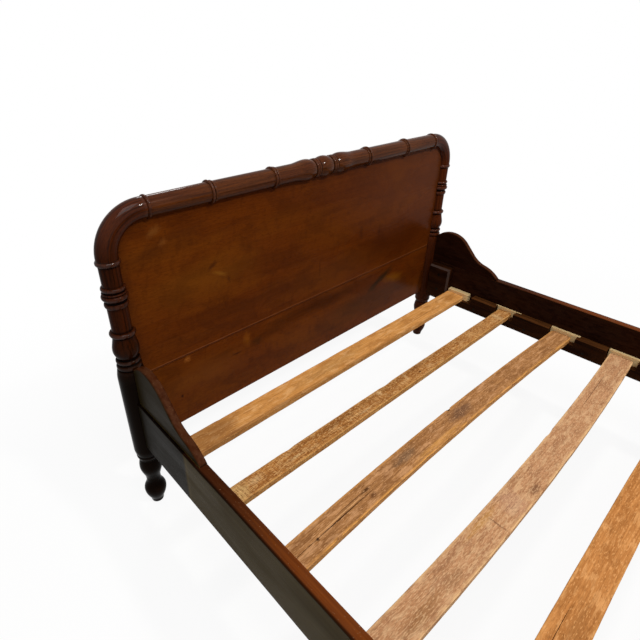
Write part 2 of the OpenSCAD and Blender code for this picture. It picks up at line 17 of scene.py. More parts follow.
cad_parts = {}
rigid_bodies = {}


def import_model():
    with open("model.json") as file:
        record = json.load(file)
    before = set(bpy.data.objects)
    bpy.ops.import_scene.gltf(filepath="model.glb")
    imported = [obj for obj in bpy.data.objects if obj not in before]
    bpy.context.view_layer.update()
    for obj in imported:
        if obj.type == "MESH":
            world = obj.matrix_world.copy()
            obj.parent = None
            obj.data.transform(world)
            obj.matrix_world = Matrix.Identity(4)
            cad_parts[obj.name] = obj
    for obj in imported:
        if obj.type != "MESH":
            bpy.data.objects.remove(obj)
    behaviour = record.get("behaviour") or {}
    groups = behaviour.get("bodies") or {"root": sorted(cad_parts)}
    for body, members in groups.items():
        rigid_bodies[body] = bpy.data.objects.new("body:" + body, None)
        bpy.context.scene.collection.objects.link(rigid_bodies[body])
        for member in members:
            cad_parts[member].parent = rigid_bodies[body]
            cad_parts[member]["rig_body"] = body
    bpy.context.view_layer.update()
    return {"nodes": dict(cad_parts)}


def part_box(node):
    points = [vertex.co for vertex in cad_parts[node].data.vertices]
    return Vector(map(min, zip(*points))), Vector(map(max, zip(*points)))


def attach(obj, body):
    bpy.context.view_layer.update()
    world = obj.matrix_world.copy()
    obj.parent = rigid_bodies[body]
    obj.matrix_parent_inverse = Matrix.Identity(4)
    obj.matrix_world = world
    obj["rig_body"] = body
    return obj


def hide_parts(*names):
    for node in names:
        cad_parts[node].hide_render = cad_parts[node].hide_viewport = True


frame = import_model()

# Without a fixed seed this noise would differ from run to run
noise.seed_set(1)
nodes = frame["nodes"]
MM = 0.001
SIDES = {"left": -1, "right": 1}
ENDS = {"head": 1, "foot": -1}


# Sizes of the turned frame, in millimetres

POST_X = 693
POST_Y = 990
RAIL_Z = {"head": 911, "foot": 751}
BEND_R = 98
ELBOW_R = 26
TURNED_RAIL_R = 26.4
MAIN_RING_R = 31.7
INNER_RING_X = 204
OUTER_RING_X = 411
COLUMN_R = 36
COLUMN_BOTTOM_Z = 228
COLUMN_TOP_Z = 480
UPPER_POST_R = 24.7
UPPER_RINGS_Z = 718
MAIN_RING_HALF = 4.2
END_RING_HALF = 4.3
TOP_RING_HALF = 6
RAIL_LIP = 8
POST_LIP = 2
TENON_R = 12
TENON_L = 28
PANEL_T = 13
PANEL_INSET = 14
PANEL_BOTTOM_Z = 244.5
RAIL_SEAT = 33
GAP = 0.3
CREST_AT_POST = 109.1
EDGE_WEAR = 6


# Helpers for meshes

def new_piece(name, points, faces):
    """Makes a mesh object and turns its faces outward."""
    mesh = bpy.data.meshes.new(name)
    mesh.from_pydata([tuple(p) for p in points], [], faces)
    work = bmesh.new()
    work.from_mesh(mesh)
    bmesh.ops.recalc_face_normals(work, faces=work.faces)
    work.to_mesh(mesh)
    work.free()
    piece = bpy.data.objects.new(name, mesh)
    bpy.context.scene.collection.objects.link(piece)
    return piece


def from_rings(name, rings):
    """A closed skin through rings of points, with a flat cap on each end."""
    count = len(rings[0])
    points = [p for ring in rings for p in ring]
    faces = [tuple(range(count))[::-1], tuple(range((len(rings) - 1) * count, len(points)))]
    for row in range(len(rings) - 1):
        for i in range(count):
            here, there = row * count + i, row * count + (i + 1) % count
            faces.append((here, there, there + count, here + count))
    return new_piece(name, points, faces)


def filled(outline, step=4.0):
    """The outline with points added on its long runs, so that a ring's marks end near the ring."""
    points = []
    for (r0, z0), (r1, z1) in zip(outline, outline[1:]):
        parts = max(1, math.ceil(abs(z1 - z0) / step))
        points += [(r0 + (r1 - r0) * i / parts, z0 + (z1 - z0) * i / parts) for i in range(parts)]
    return points + [outline[-1]]


def lathe(name, outline, place, sides=88):
    """Turns an outline of (radius, height) points, in millimetres, round an axis."""
    turns = [(math.cos(math.tau * i / sides), math.sin(math.tau * i / sides)) for i in range(sides)]
    rings = []
    for r, z in filled(outline):
        rings.append([place @ Vector((r * c * MM, r * s * MM, z * MM)) for c, s in turns])
    return from_rings(name, rings)


def box_solid(low, high, grow):
    """A plain box, used only to cut."""
    low = Vector(low) - Vector((grow,) * 3)
    high = Vector(high) + Vector((grow,) * 3)
    corners = [(low.x, low.y), (high.x, low.y), (high.x, high.y), (low.x, high.y)]
    return from_rings("cutter", [[(x, y, z) for x, y in corners] for z in (low.z, high.z)])


def cut(piece, *cutters):
    """Cuts solids out of a piece for good and removes them."""
    for cutter in cutters:
        step = piece.modifiers.new("cut", "BOOLEAN")
        step.operation = "DIFFERENCE"
        step.solver = "MANIFOLD"
        step.object = cutter
    graph = bpy.context.evaluated_depsgraph_get()
    shaped = bpy.data.meshes.new_from_object(piece.evaluated_get(graph))
    piece.modifiers.clear()
    whole = piece.data
    piece.data = shaped
    bpy.data.meshes.remove(whole)
    for cutter in cutters:
        bpy.data.objects.remove(cutter)
    return piece


def mesh_points(mesh):
    """All points of a mesh, one row each."""
    flat = np.empty(len(mesh.vertices) * 3)
    mesh.vertices.foreach_get("co", flat)
    return flat.reshape(-1, 3)


def mark(piece, grain, worn=0.0, hollow=0.0):
    """Stores for each point its place in its own plank, and how worn or hollow it lies."""
    count = len(piece.data.vertices)
    for name, kind, key, values in (
        ("grain", "FLOAT_VECTOR", "vector", grain),
        ("worn", "FLOAT", "value", np.broadcast_to(worn, count)),
        ("hollow", "FLOAT", "value", np.broadcast_to(hollow, count)),
    ):
        attribute = piece.data.attributes.new(name, kind, "POINT")
        attribute.data.foreach_set(key, np.ascontiguousarray(values, dtype=np.float32).ravel())


def stand_for(piece, node, material, crease=40):
    """Shades a piece round up to a crease angle, dresses it and lets it stand for its node."""
    piece.data.polygons.foreach_set("use_smooth", [True] * len(piece.data.polygons))
    piece.data.set_sharp_from_angle(angle=math.radians(crease))
    piece.data.materials.clear()
    piece.data.materials.append(material)
    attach(piece, nodes[node]["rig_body"])
    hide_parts(node)


def dress(node, material):
    """Gives a node its finish."""
    for row in nodes[node].material_slots:
        row.material = material


# Runs of a turned outline, in millimetres, as in the part's source but finer

def bead(z, r, half, base, steps=14):
    """A half-round bead with its middle at z."""
    return [(base + (r - base) * math.sin(math.pi * i / steps), z - half * math.cos(math.pi * i / steps))
            for i in range(steps + 1)]


def run(r0, z0, r1, z1, blend, steps=12):
    """Goes from one radius to the next as blend goes from 0 to 1."""
    return [(r0 + (r1 - r0) * blend(i / steps), z0 + (z1 - z0) * i / steps) for i in range(steps + 1)]


def swell(*ends):
    """Starts steep and ends level."""
    return run(*ends, blend=lambda t: math.sin(math.pi / 2 * t))


def rounding(*ends):
    """Starts level and ends steep."""
    return run(*ends, blend=lambda t: 1 - math.cos(math.pi / 2 * t))


def ogee(*ends):
    """Level at both ends."""
    return run(*ends, blend=lambda t: (1 - math.cos(math.pi * t)) / 2, steps=18)


def foot_turning():
    foot_end_r, ball_r, ball_z, neck_r, cup_r, cup_z = 18, 32, 54, 21, 32.25, 151
    neck_z = ball_z + 38
    groove_z, groove_r = COLUMN_BOTTOM_Z - 46, 27
    ring_z, ring_r = COLUMN_BOTTOM_Z - 28, 32.8
    return (
        [(foot_end_r - 1.2, 0), (foot_end_r, 1)]
        + swell(foot_end_r + 2.8, 15, ball_r, ball_z)
        + ogee(ball_r, ball_z, neck_r, neck_z)
        + ogee(neck_r, neck_z + 6, cup_r, cup_z)
        + rounding(cup_r, cup_z, groove_r, groove_z)
        + swell(groove_r, groove_z + 2.5, ring_r, ring_z)
        + [(ring_r, ring_z + 2), (ring_r - 1.4, ring_z + 3.5)]
        + swell(ring_r - 0.6, ring_z + 5, COLUMN_R, COLUMN_BOTTOM_Z)
    )


def bulb_turning():
    top, neck_r, bulb_r = COLUMN_TOP_Z, UPPER_POST_R, 33.3
    shoulder_r, groove_r, collar_r = COLUMN_R - 4, COLUMN_R - 7, neck_r + 1.5
    shoulder_z, low_bead_z, high_bead_z = top + 28.5, top + 37.5, top + 55
    bulb_start_z, bulb_z, neck_z, ring_z = top + 62.5, top + 87, top + 127, top + 135.5
    bead_half, ring_half = 6, 7
    return (
        [(COLUMN_R, COLUMN_BOTTOM_Z + step) for step in range(12, top - COLUMN_BOTTOM_Z, 12)]
        + rounding(COLUMN_R, top, shoulder_r, shoulder_z)
        + [(groove_r, shoulder_z + 1.5)]
        + bead(low_bead_z, shoulder_r, bead_half, groove_r)
        + [(collar_r, low_bead_z + 9)]
        + bead(high_bead_z, neck_r + 6.5, bead_half, collar_r)
        + swell(neck_r + 0.5, bulb_start_z, bulb_r, bulb_z)
        + ogee(bulb_r, bulb_z, neck_r + 2.5, neck_z)
        + bead(ring_z, neck_r + 7.8, ring_half, neck_r)
    )


def upper_rings():
    z, r = UPPER_RINGS_Z, UPPER_POST_R
    return (
        bead(z - 20.8, r + 4.2, 6.8, r)
        + bead(z, r + 7.4, 7.4, r)
        + bead(z + 10.4, r + 4.8, 2.7, r, 10)
        + bead(z + 22, r + 4.8, 5.5, r - 0.5)
    )


def post_turning(end):
    top = RAIL_Z[end] - BEND_R
    return (
        foot_turning()
        + bulb_turning()
        + (upper_rings() if end == "head" else [])
        + bead(top - POST_LIP - TOP_RING_HALF, ELBOW_R + 3.3, TOP_RING_HALF, UPPER_POST_R - 0.4)
        + [(ELBOW_R, top - POST_LIP + 0.8), (ELBOW_R, top)]
        + [(TENON_R, top), (TENON_R, top + TENON_L)]
    )


def ring_pair(x, ring_r):
    """A main ring of the top rail with the thin bead and the groove beside it."""
    r, bead_away, bead_half = TURNED_RAIL_R, 9.4, 3.6
    return (
        bead(x - bead_away, r + 3, bead_half, r, 10)
        + [(r - 1.6, x - MAIN_RING_HALF - 0.8)]
        + bead(x, ring_r, MAIN_RING_HALF, r)
    )


def rail_turning():
    r, end = TURNED_RAIL_R, POST_X - BEND_R
    ball_r, bead_r, groove_r, swell_r = r + 5.4, r + 2.5, r - 2.2, r + 5
    ball_end, first_bead, second_bead, bead_half = 25.5, 32.2, 40.8, 4.2
    swell_start, swell_peak, swell_end = 47.5, 73, 130
    half = (
        rounding(ball_r, 0, r, ball_end)
        + [(groove_r, ball_end + 1.3)]
        + bead(first_bead, bead_r, bead_half, r, 10)
        + bead(second_bead, bead_r, bead_half, r, 10)
        + [(groove_r, swell_start - 1.3)]
        + swell(r, swell_start, swell_r, swell_peak)
        + ogee(swell_r, swell_peak, r, swell_end)
        + ring_pair(INNER_RING_X, MAIN_RING_R - 0.3)
        + ring_pair(OUTER_RING_X, MAIN_RING_R)
        + bead(end - RAIL_LIP - END_RING_HALF, r + 2.8, END_RING_HALF, r - 0.8)
        + [(r - 1.8, end - RAIL_LIP + 0.8), (ELBOW_R, end - RAIL_LIP + 1.6), (ELBOW_R, end)]
        + [(TENON_R, end), (TENON_R, end + TENON_L)]
    )
    return [(radius, -z) for radius, z in half[:0:-1]] + half


def relief(outline):
    """How far an outline stands above (or lies below) its own smoothed course, by height."""
    window = 9
    heights = np.arange(outline[0][1], outline[-1][1], 1.0)
    radii = np.interp(heights, [z for r, z in outline], [r for r, z in outline])
    kernel = np.ones(2 * window + 1) / (2 * window + 1)
    course = np.convolve(np.pad(radii, window, mode="edge"), kernel, mode="valid")
    return heights * MM, radii - course


# Pieces of the turned frame

def panel_cutter(end):
    """The panel with its room, as a solid that cuts the grooves."""
    x0, z0 = (POST_X - BEND_R) * MM, (RAIL_Z[end] - BEND_R) * MM
    bend = (BEND_R - PANEL_INSET + GAP) * MM
    arc = [(x0 + bend * math.cos(a), z0 + bend * math.sin(a)) for a in np.linspace(0, math.pi / 2, 33)]
    outline = [(x0 + bend, (PANEL_BOTTOM_Z - GAP) * MM)] + arc
    outline += [(-x, z) for x, z in reversed(outline)]
    half = (PANEL_T / 2 + GAP) * MM
    middle = ENDS[end] * POST_Y * MM
    return from_rings("cutter", [[(x, middle + y, z) for x, z in outline] for y in (-half, half)])


def lathe_marks(piece, outline, axis, centre, seed):
    """Marks of a turned piece: its axis is along the grain, its rings are worn, its grooves hollow."""
    order = {"x": (0, 1, 2), "z": (2, 0, 1)}[axis]
    local = (mesh_points(piece.data) - centre)[:, order]
    rise = np.interp(local[:, 0], *relief(outline)) / 3
    mark(piece, local + (seed * 1.7, 0.013 * seed, 0.4), np.clip(rise, 0, 1), np.clip(-rise, 0, 1))


def turned_post(end, side, seed, finish):
    node = f"{end}_post_{side}"
    centre = Vector((SIDES[side] * POST_X * MM, ENDS[end] * POST_Y * MM, 0))
    outline = post_turning(end)
    piece = lathe("turned_" + node, outline, Matrix.Translation(centre))
    crest_low, crest_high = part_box(f"crest_{end}_{side}")
    crest_high.z = crest_low.z + CREST_AT_POST * MM
    rooms = [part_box(f"side_rail_{side}"), (crest_low, crest_high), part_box(f"rail_plate_{end}_{side}")]
    cut(piece, panel_cutter(end), *[box_solid(*room, GAP * MM) for room in rooms])
    lathe_marks(piece, outline, "z", np.array(centre), seed)
    stand_for(piece, node, finish)


def turned_rail(end, seed, finish):
    node = f"{end}_top_rail"
    centre = Vector((0, ENDS[end] * POST_Y * MM, RAIL_Z[end] * MM))
    outline = rail_turning()
    level = Matrix.Translation(centre) @ Matrix.Rotation(math.pi / 2, 4, "Y")
    piece = cut(lathe("turned_" + node, outline, level), panel_cutter(end))
    lathe_marks(piece, outline, "x", np.array(centre), seed)
    stand_for(piece, node, finish)


def round_elbow(end, side, seed, finish):
    """Quarter bend of round section between the post's top ring and the rail's end ring."""
    node = f"{end}_elbow_{side}"
    steps, sides = 48, 72
    way = SIDES[side]
    centre = Vector((way * (POST_X - BEND_R), ENDS[end] * POST_Y, RAIL_Z[end] - BEND_R)) * MM
    rings = []
    for step in range(steps + 1):
        turn = math.pi / 2 * step / steps
        out = Vector((way * math.cos(turn), 0, math.sin(turn)))
        ring = []
        for i in range(sides):
            a = math.tau * i / sides
            reach = BEND_R + ELBOW_R * math.cos(a)
            ring.append(centre + (out * reach + Vector((0, ELBOW_R * math.sin(a), 0))) * MM)
        rings.append(ring)
    piece = cut(from_rings("turned_" + node, rings), panel_cutter(end))
    x, y, z = (mesh_points(piece.data) - np.array(centre)).T
    turn = np.arctan2(z, way * x)
    mark(piece, np.column_stack((turn * BEND_R * MM + seed * 1.7, y, np.hypot(x, z) - BEND_R * MM + 0.3)))
    stand_for(piece, node, finish)


# Boards

def wobble(point, reach, amount, seed):
    """A soft, repeatable shift for a point of a hand-worked surface."""
    place = Vector((point[0] / reach, point[1] / reach, point[2] / reach + seed * 7.3))
    return noise.noise_vector(place) * amount


def rounded_section(width, height, arris, support=1.5 * MM, steps=4):
    """Points round a board's section from its middle, with a line beside each arris."""
    points = []
    corners = [(1, 1, 0), (-1, 1, 90), (-1, -1, 180), (1, -1, 270)]
    for sx, sy, start in corners:
        cx, cy = sx * (width / 2 - arris), sy * (height / 2 - arris)
        arc = []
        for i in range(steps + 1):
            a = math.radians(start + 90 * i / steps)
            arc.append((cx + arris * math.cos(a), cy + arris * math.sin(a)))
        a0, a1 = math.radians(start - 90), math.radians(start + 180)
        before = (arc[0][0] + support * math.cos(a0), arc[0][1] + support * math.sin(a0))
        after = (arc[-1][0] + support * math.cos(a1), arc[-1][1] + support * math.sin(a1))
        points += [before] + arc + [after]
    return points


def board(name, low, high, arris, end_arris, step, uneven, seed):
    """A board from corner to corner along Y, its arrises eased and its faces a little uneven, as planed
    by hand."""
    low, high = Vector(low), Vector(high)
    middle, size = (low + high) / 2, high - low
    half = size.y / 2
    section = rounded_section(size.x, size.z, arris)
    end_size = (size.x - 2 * end_arris, size.z - 2 * end_arris)
    trimmed = rounded_section(*end_size, max(arris - end_arris, arris / 3))
    straight = 2 * half - 2 * end_arris
    count = max(2, round(straight / step))
    stations = [-half + end_arris + straight * i / count for i in range(count + 1)]
    rings = []
    for place, shape in [(-half, trimmed)] + [(s, section) for s in stations] + [(half, trimmed)]:
        ring = []
        for u, v in shape:
            point = Vector((u, place, v))
            shift = wobble(point, 0.18, uneven, seed)
            shift.y = 0
            inward = Vector((-math.copysign(uneven * 0.5, u), 0, -math.copysign(uneven * 0.5, v)))
            ring.append(middle + point + shift * 0.5 + inward)
        rings.append(ring)
    return from_rings(name, rings)


def board_marks(piece, low, high, seed, edge_reach=EDGE_WEAR * MM):
    """Marks of a board: arrises are worn."""
    low, high = np.array(low), np.array(high)
    local = mesh_points(piece.data) - (low + high) / 2
    depth = (high - low) / 2 - np.abs(local)
    worn = np.clip(1 - np.hypot(depth[:, 0], depth[:, 2]) / edge_reach, 0, 1)
    mark(piece, local[:, (1, 0, 2)] + (seed * 1.9, 0.0, 0.21 * seed), worn)


def side_rail(side, seed, finish):
    node = f"side_rail_{side}"
    low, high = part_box(node)
    piece = board("planed_" + node, low, high, arris=2.2 * MM, end_arris=0.6 * MM, step=0.06,
                  uneven=0.25 * MM, seed=seed)
    cut(piece, *[box_solid(*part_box(f"rail_plate_{end}_{side}"), 0.1 * MM) for end in ENDS])
    board_marks(piece, low, high, seed)
    stand_for(piece, node, finish)


def ease_arrises(node, width):
    """Takes the sharp edges off a node that keeps its own form."""
    easing = nodes[node].modifiers.new("eased", "BEVEL")
    easing.width = width
    easing.segments = 2
    easing.limit_method = "ANGLE"
    easing.angle_limit = math.radians(50)


def scroll_outline():
    """The crest's outline as (distance from the post axis, height above the rail), in millimetres,
    with how far each point's edge is rounded over."""
    height, peak_y, slope, end_h = 137.5, 101, math.radians(46), 5
    top_r, hollow_r, toe_r = 95, 100, 128
    toe_start, toe_end = math.radians(12), math.radians(45)

    def arc(centre, r, start, end, steps):
        turns = np.linspace(start, end, steps)
        return [(centre[0] + r * math.sin(a), centre[1] + r * math.cos(a)) for a in turns]

    top = (peak_y, height - top_r)
    start = math.asin((RAIL_SEAT - peak_y) / top_r)
    drop = (top_r * (1 - math.cos(slope)) + hollow_r * (math.cos(toe_start) - math.cos(slope))
            + toe_r * (math.cos(toe_start) - math.cos(toe_end)))
    straight = (height - end_h - drop) / math.sin(slope)
    low_x = top[0] + top_r * math.sin(slope) + straight * math.cos(slope)
    low_z = top[1] + top_r * math.cos(slope) - straight * math.sin(slope)
    hollow = (low_x + hollow_r * math.sin(slope), low_z + hollow_r * math.cos(slope))
    apart = hollow_r + toe_r
    toe = (hollow[0] - apart * math.sin(toe_start), hollow[1] - apart * math.cos(toe_start))
    upper = arc(top, top_r, start, slope, 36) + arc(hollow, -hollow_r, slope, toe_start, 16)
    upper += arc(toe, toe_r, toe_start + math.radians(5), toe_end, 16)
    end_y = toe[0] + toe_r * math.sin(toe_end) + 1
    return [(RAIL_SEAT, 0, 0)] + [(y, z, 1) for y, z in upper] + [(end_y, 0.2, 0.6), (end_y, 0, 0)]


def crest(end, side, seed, finish):
    """Scroll board with a rounded-over edge."""
    node = f"crest_{end}_{side}"
    low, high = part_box(node)
    outline = scroll_outline()
    count = len(outline)
    normals = []
    for i, (y, z, share) in enumerate(outline):
        before, after = outline[i - 1], outline[(i + 1) % count]
        run_y, run_z = after[0] - before[0], after[1] - before[1]
        length = math.hypot(run_y, run_z)
        normals.append((-run_z / length * share, run_y / length * share))
    inner_round, outer_round = 3.5 * MM, 5.5 * MM
    levels = []
    for reach, side_x, way in ((inner_round, 0, 1), (outer_round, 1, -1)):
        steps = [(0.0, reach + 1.5 * MM)]
        for i in range(7):
            a = math.pi / 2 * i / 6
            steps.append((reach * (1 - math.cos(a)), reach * (1 - math.sin(a))))
        steps = [(side_x * (high.x - low.x) + way * t, inset) for t, inset in steps]
        levels += steps if way > 0 else steps[::-1]
    rings = []
    for level, inset in levels:
        x = (high.x - level) if side == "left" else (low.x + level)
        ring = []
        for (y, z, share), (ny, nz) in zip(outline, normals):
            place_y = ENDS[end] * (POST_Y * MM - (y * MM - ny * inset))
            ring.append((x, place_y, low.z + z * MM - nz * inset))
        rings.append(ring)
    piece = from_rings("sawn_" + node, rings)
    edge = np.array([(ENDS[end] * (POST_Y - y) * MM, low.z + z * MM) for y, z, share in outline[1:-2]])
    points = mesh_points(piece.data)
    away = np.linalg.norm(points[:, None, 1:] - edge[None, :, :], axis=2).min(axis=1)
    mark(piece, points[:, (1, 0, 2)] + (seed * 1.9, 0, 0), np.clip(1 - away / (EDGE_WEAR * MM), 0, 1))
    stand_for(piece, node, finish, crease=35)


# Slats and their pads

# Splits of a slat: where they start and end along it, how far off its middle, and how deep
SPLITS = {
    1: [(0.44, 0.60, 0.018, 0.0016)],
    2: [(-0.40, -0.16, -0.012, 0.0022)],
    3: [(-0.656, -0.36, -0.003, 0.0042)],
    4: [(0.30, 0.52, 0.012, 0.002)],
    5: [(-0.62, -0.30, 0.014, 0.002)],
    6: [(0.10, 0.42, -0.006, 0.003)],
    7: [(-0.655, -0.45, 0.010, 0.0035)],
    8: [(0.2, 0.64, 0.004, 0.003)],
    9: [(-0.25, 0.05, -0.014, 0.002)],
}
# Chips out of a slat's long edges: place along it, which edge (-1 front, 1 back), length and depth
CHIPS = {
    1: [(0.21, -1, 0.03, 0.0018), (-0.52, 1, 0.02, 0.0015)],
    2: [(-0.05, 1, 0.05, 0.0025), (0.36, -1, 0.03, 0.002), (-0.45, 1, 0.03, 0.002)],
    3: [(0.0, 1, 0.016, 0.004), (0.35, -1, 0.05, 0.0025), (-0.2, -1, 0.03, 0.0015)],
    4: [(-0.27, -1, 0.012, 0.0025), (0.12, 1, 0.04, 0.002)],
    5: [(0.1, -1, 0.05, 0.002)],
    6: [(-0.3, 1, 0.04, 0.002)],
    7: [(0.4, -1, 0.03, 0.003)],
    8: [(-0.1, 1, 0.03, 0.002)],
    9: [(0.5, -1, 0.04, 0.002)],
}


def slat_edges(node):
    """Front and back edge of a slat along X, read from its node."""
    points = mesh_points(nodes[node].data)
    top = points[points[:, 2] > points[:, 2].max() - 1e-4]
    reach = np.abs(top[:, 0]).max()
    corner = 9.2 * MM
    stations = {}
    for x, y, _ in top:
        if abs(x) < reach - corner + 0.5 * MM:
            stations.setdefault(round(float(x), 4), []).append(float(y))
    xs = sorted(x for x, ys in stations.items() if max(ys) - min(ys) > 0.03)
    return reach, xs, [min(stations[x]) for x in xs], [max(stations[x]) for x in xs]


def slat(k, finish):
    """An old sawn slat: uneven, split and chipped, with worn arrises."""
    node = f"slat_{k}"
    low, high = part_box(node)
    reach, xs, fronts, backs = slat_edges(node)
    thick, mid_z = high.z - low.z, (high.z + low.z) / 2
    corner, arris, step = 9 * MM, 1.8 * MM, 0.011
    inner = np.linspace(-reach + corner, reach - corner, round(2 * (reach - corner) / step))
    ends = [reach - corner * (1 - math.sin(math.pi / 2 * i / 5)) for i in range(5, 0, -1)]
    stations = [-e for e in ends] + [float(x) for x in inner] + ends[::-1]
    full_half = (backs[0] - fronts[0]) / 2
    places_across = row_places(full_half, sorted({s[2] for s in SPLITS[k]}))
    rings, rows = [], []
    for x in stations:
        held = max(-reach + corner, min(reach - corner, x))
        front, back = np.interp(held, xs, fronts), np.interp(held, xs, backs)
        if x != held:
            tail = abs(x) - (reach - corner)
            trim = corner - math.sqrt(max(corner * corner - tail * tail, 0))
        else:
            trim = 0.0
        half = (back - front) / 2 - trim
        middle = (back + front) / 2
        ease = arris * (1 + 0.5 * noise.noise(Vector((x * 14, k * 3.1, 0))))
        section = rounded_section(2 * half, thick, min(ease, half * 0.8), 1.2 * MM, 3)
        share = half / full_half
        section = with_rows(section, [u * share for u in places_across])
        ring = []
        for u, v in section:
            place = Vector((x, u, v))
            lift = wobble(place, 0.09, 0.45 * MM, k) + wobble(place, 0.012, 0.16 * MM, k + 20)
            deep = split_depth(k, x, u / share) if v > thick / 2 - 1e-5 else 0.0
            bite = chip_depth(k, x, u, half, v, thick)
            side_shift = lift.y - math.copysign(bite, u) - math.copysign(0.25 * MM, u)
            z_shift = min(0.0, lift.z - 0.25 * MM) if v > 0 else max(0.0, lift.z + 0.25 * MM)
            if trim > 0:
                side_shift *= 0.3
            ring.append((x, middle + u + side_shift, mid_z + v + z_shift - deep))
            rows.append((x, u, v))
        rings.append(ring)
    piece = from_rings("old_" + node, rings)
    places = np.array(rows)
    across, up = np.abs(places[:, 1]), np.abs(places[:, 2])
    depth = np.hypot(across.max() - across, thick / 2 - up)
    cracks = np.array([split_depth(k, x, u) if v > thick / 2 - 1e-5 else 0.0 for x, u, v in rows])
    mark(piece, places, np.clip(1 - depth / (5 * MM), 0, 1), np.clip(cracks / (1.5 * MM), 0, 1))
    stand_for(piece, node, finish, crease=50)


def row_places(half, split_lines):
    """Places across a slat's face where it gets a line of points, closer beside a split."""
    half_split = 0.7 * MM
    places = list(np.linspace(-0.78 * half, 0.78 * half, 9))
    for line in split_lines:
        places = [u for u in places if abs(u - line) > 2.5 * MM]
        places += [line - half_split, line, line + half_split]
    return sorted(u for u in places if abs(u) < half - 4 * MM)


def with_rows(section, places):
    """Adds lines along the top and bottom of a section, so that the faces can be uneven and split."""
    quarter = len(section) // 4
    top = max(v for u, v in section)
    result = section[:quarter]
    result += [(u, top) for u in reversed(places)]
    result += section[quarter:3 * quarter]
    result += [(u, -top) for u in places]
    return result + section[3 * quarter:]


def split_depth(k, x, u):
    """How deep a slat's splits are at a place on its top."""
    for start, end, line, depth in SPLITS[k]:
        if start < x < end and abs(u - line) < 0.1 * MM:
            share = min(x - start, end - x) / 0.05
            if start < -0.65:
                share = (end - x) / 0.12
            return depth * min(1.0, share)
    return 0.0


def chip_depth(k, x, u, half, v, thick):
    """How far a slat's edge is bitten in at a place."""
    for place, edge, length, depth in CHIPS[k]:
        near = 1 - abs(x - place) / (length / 2)
        if near > 0 and u * edge > half - 3 * MM and v > -thick * 0.1:
            return depth * math.sqrt(near)
    return 0.0


def pad_boxes(node):
    """Lowest and highest corners of each pad of a row, read from its node."""
    points = mesh_points(nodes[node].data)
    points = points[np.argsort(points[:, 1])]
    breaks = np.where(np.diff(points[:, 1]) > 0.05)[0] + 1
    found = []
    edges = [0] + list(breaks) + [len(points)]
    stretches = [points[a:b] for a, b in zip(edges[:-1], edges[1:])]
    for first, second in zip(stretches[::2], stretches[1::2]):
        both = np.vstack((first, second))
        found.append((both.min(axis=0), both.max(axis=0)))
    return found


def slat_pads(side, finish):
    """Offcuts of new softwood behind the slats' ends."""
    node = f"slat_pads_{side}"
    made = []
    for i, (low, high) in enumerate(pad_boxes(node)):
        pad = board(f"pad_{i}", low, high, arris=0.7 * MM, end_arris=0.6 * MM, step=0.012,
                    uneven=0.5 * MM, seed=i + 3)
        board_marks(pad, low, high, i * 1.3 + SIDES[side] * 0.2, edge_reach=3 * MM)
        made.append(pad)
    piece = made[0]
    with bpy.context.temp_override(active_object=piece, selected_editable_objects=made):
        bpy.ops.object.join()
    piece.name = "offcut_" + node
    stand_for(piece, node, finish)


# Shader helpers

class Value:
    """A value in a shader's nodes, so that sums of values can be written as sums."""

    def __init__(self, socket):
        self.socket = socket
        self.tree = socket.id_data

    def __add__(self, other):
        return maths("ADD", self, other)

    def __sub__(self, other):
        return maths("SUBTRACT", self, other)

    def __rsub__(self, other):
        return maths("SUBTRACT", other, self)

    def __mul__(self, other):
        return maths("MULTIPLY", self, other)

    def __truediv__(self, other):
        return maths("DIVIDE", self, other)

    def __abs__(self):
        return maths("ABSOLUTE", self)


def linear(code):
    """Linear colour of an sRGB code such as 8a5a35."""
    values = [int(code[i:i + 2], 16) / 255 for i in (0, 2, 4)]
    return tuple(v / 12.92 if v <= 0.04045 else ((v + 0.055) / 1.055) ** 2.4 for v in values) + (1.0,)


def put(socket, value):
    """Links a Value to a socket, or sets the socket to a colour code or a constant."""
    if isinstance(value, Value):
        value.tree.links.new(value.socket, socket)
    else:
        socket.default_value = linear(value) if isinstance(value, str) else value


def add(tree, kind, inputs=None, **settings):
    """Adds a shader node."""
    made = tree.nodes.new("ShaderNode" + kind)
    for key, value in settings.items():
        setattr(made, key, value)
    for key, value in (inputs or {}).items():
        put(made.inputs[key], value)
    return made


def value_of(tree, kind, inputs=None, output=0, **settings):
    """Adds a shader node for one of its outputs."""
    return Value(add(tree, kind, inputs, **settings).outputs[output])


def maths(operation, a, b=0.0, clamp=False):
    tree = (a if isinstance(a, Value) else b).tree
    return value_of(tree, "Math", {0: a, 1: b}, operation=operation, use_clamp=clamp)


def vectors(operation, a, b):
    return value_of(a.tree, "VectorMath", {0: a, 1: b}, operation=operation)


def length_of(vector):
    return value_of(vector.tree, "VectorMath", {0: vector}, output="Value", operation="LENGTH")


def parts(vector):
    """The three numbers of a vector."""
    return [Value(socket) for socket in add(vector.tree, "SeparateXYZ", {0: vector}).outputs]


def vector_from(x, y, z):
    return value_of(y.tree, "CombineXYZ", {0: x, 1: y, 2: z})


def blend(factor, a, b):
    return value_of(factor.tree, "Mix", {0: factor, 6: a, 7: b}, output=2, data_type="RGBA")


def tinted(colour, *layers):
    """Lays shades over a colour, each as strongly as its mask and its share say."""
    for shade, mask, share in layers:
        colour = blend(mask * share, colour, shade)
    return colour


def between(value, low, high, out_low=0.0, out_high=1.0, how="SMOOTHSTEP"):
    """Maps a value from one span to another, held at the ends."""
    ends = {0: value, 1: low, 2: high, 3: out_low, 4: out_high}
    return value_of(value.tree, "MapRange", ends, interpolation_type=how)


def cloud(place, detail, roughness=0.5, distortion=0.0, scale=1.0, output=0):
    """Soft noise. Output 0 is a value, output 1 a colour."""
    inputs = {"Vector": place, "Scale": scale, "Detail": detail, "Roughness": roughness,
              "Distortion": distortion}
    return value_of(place.tree, "TexNoise", inputs, output=output)


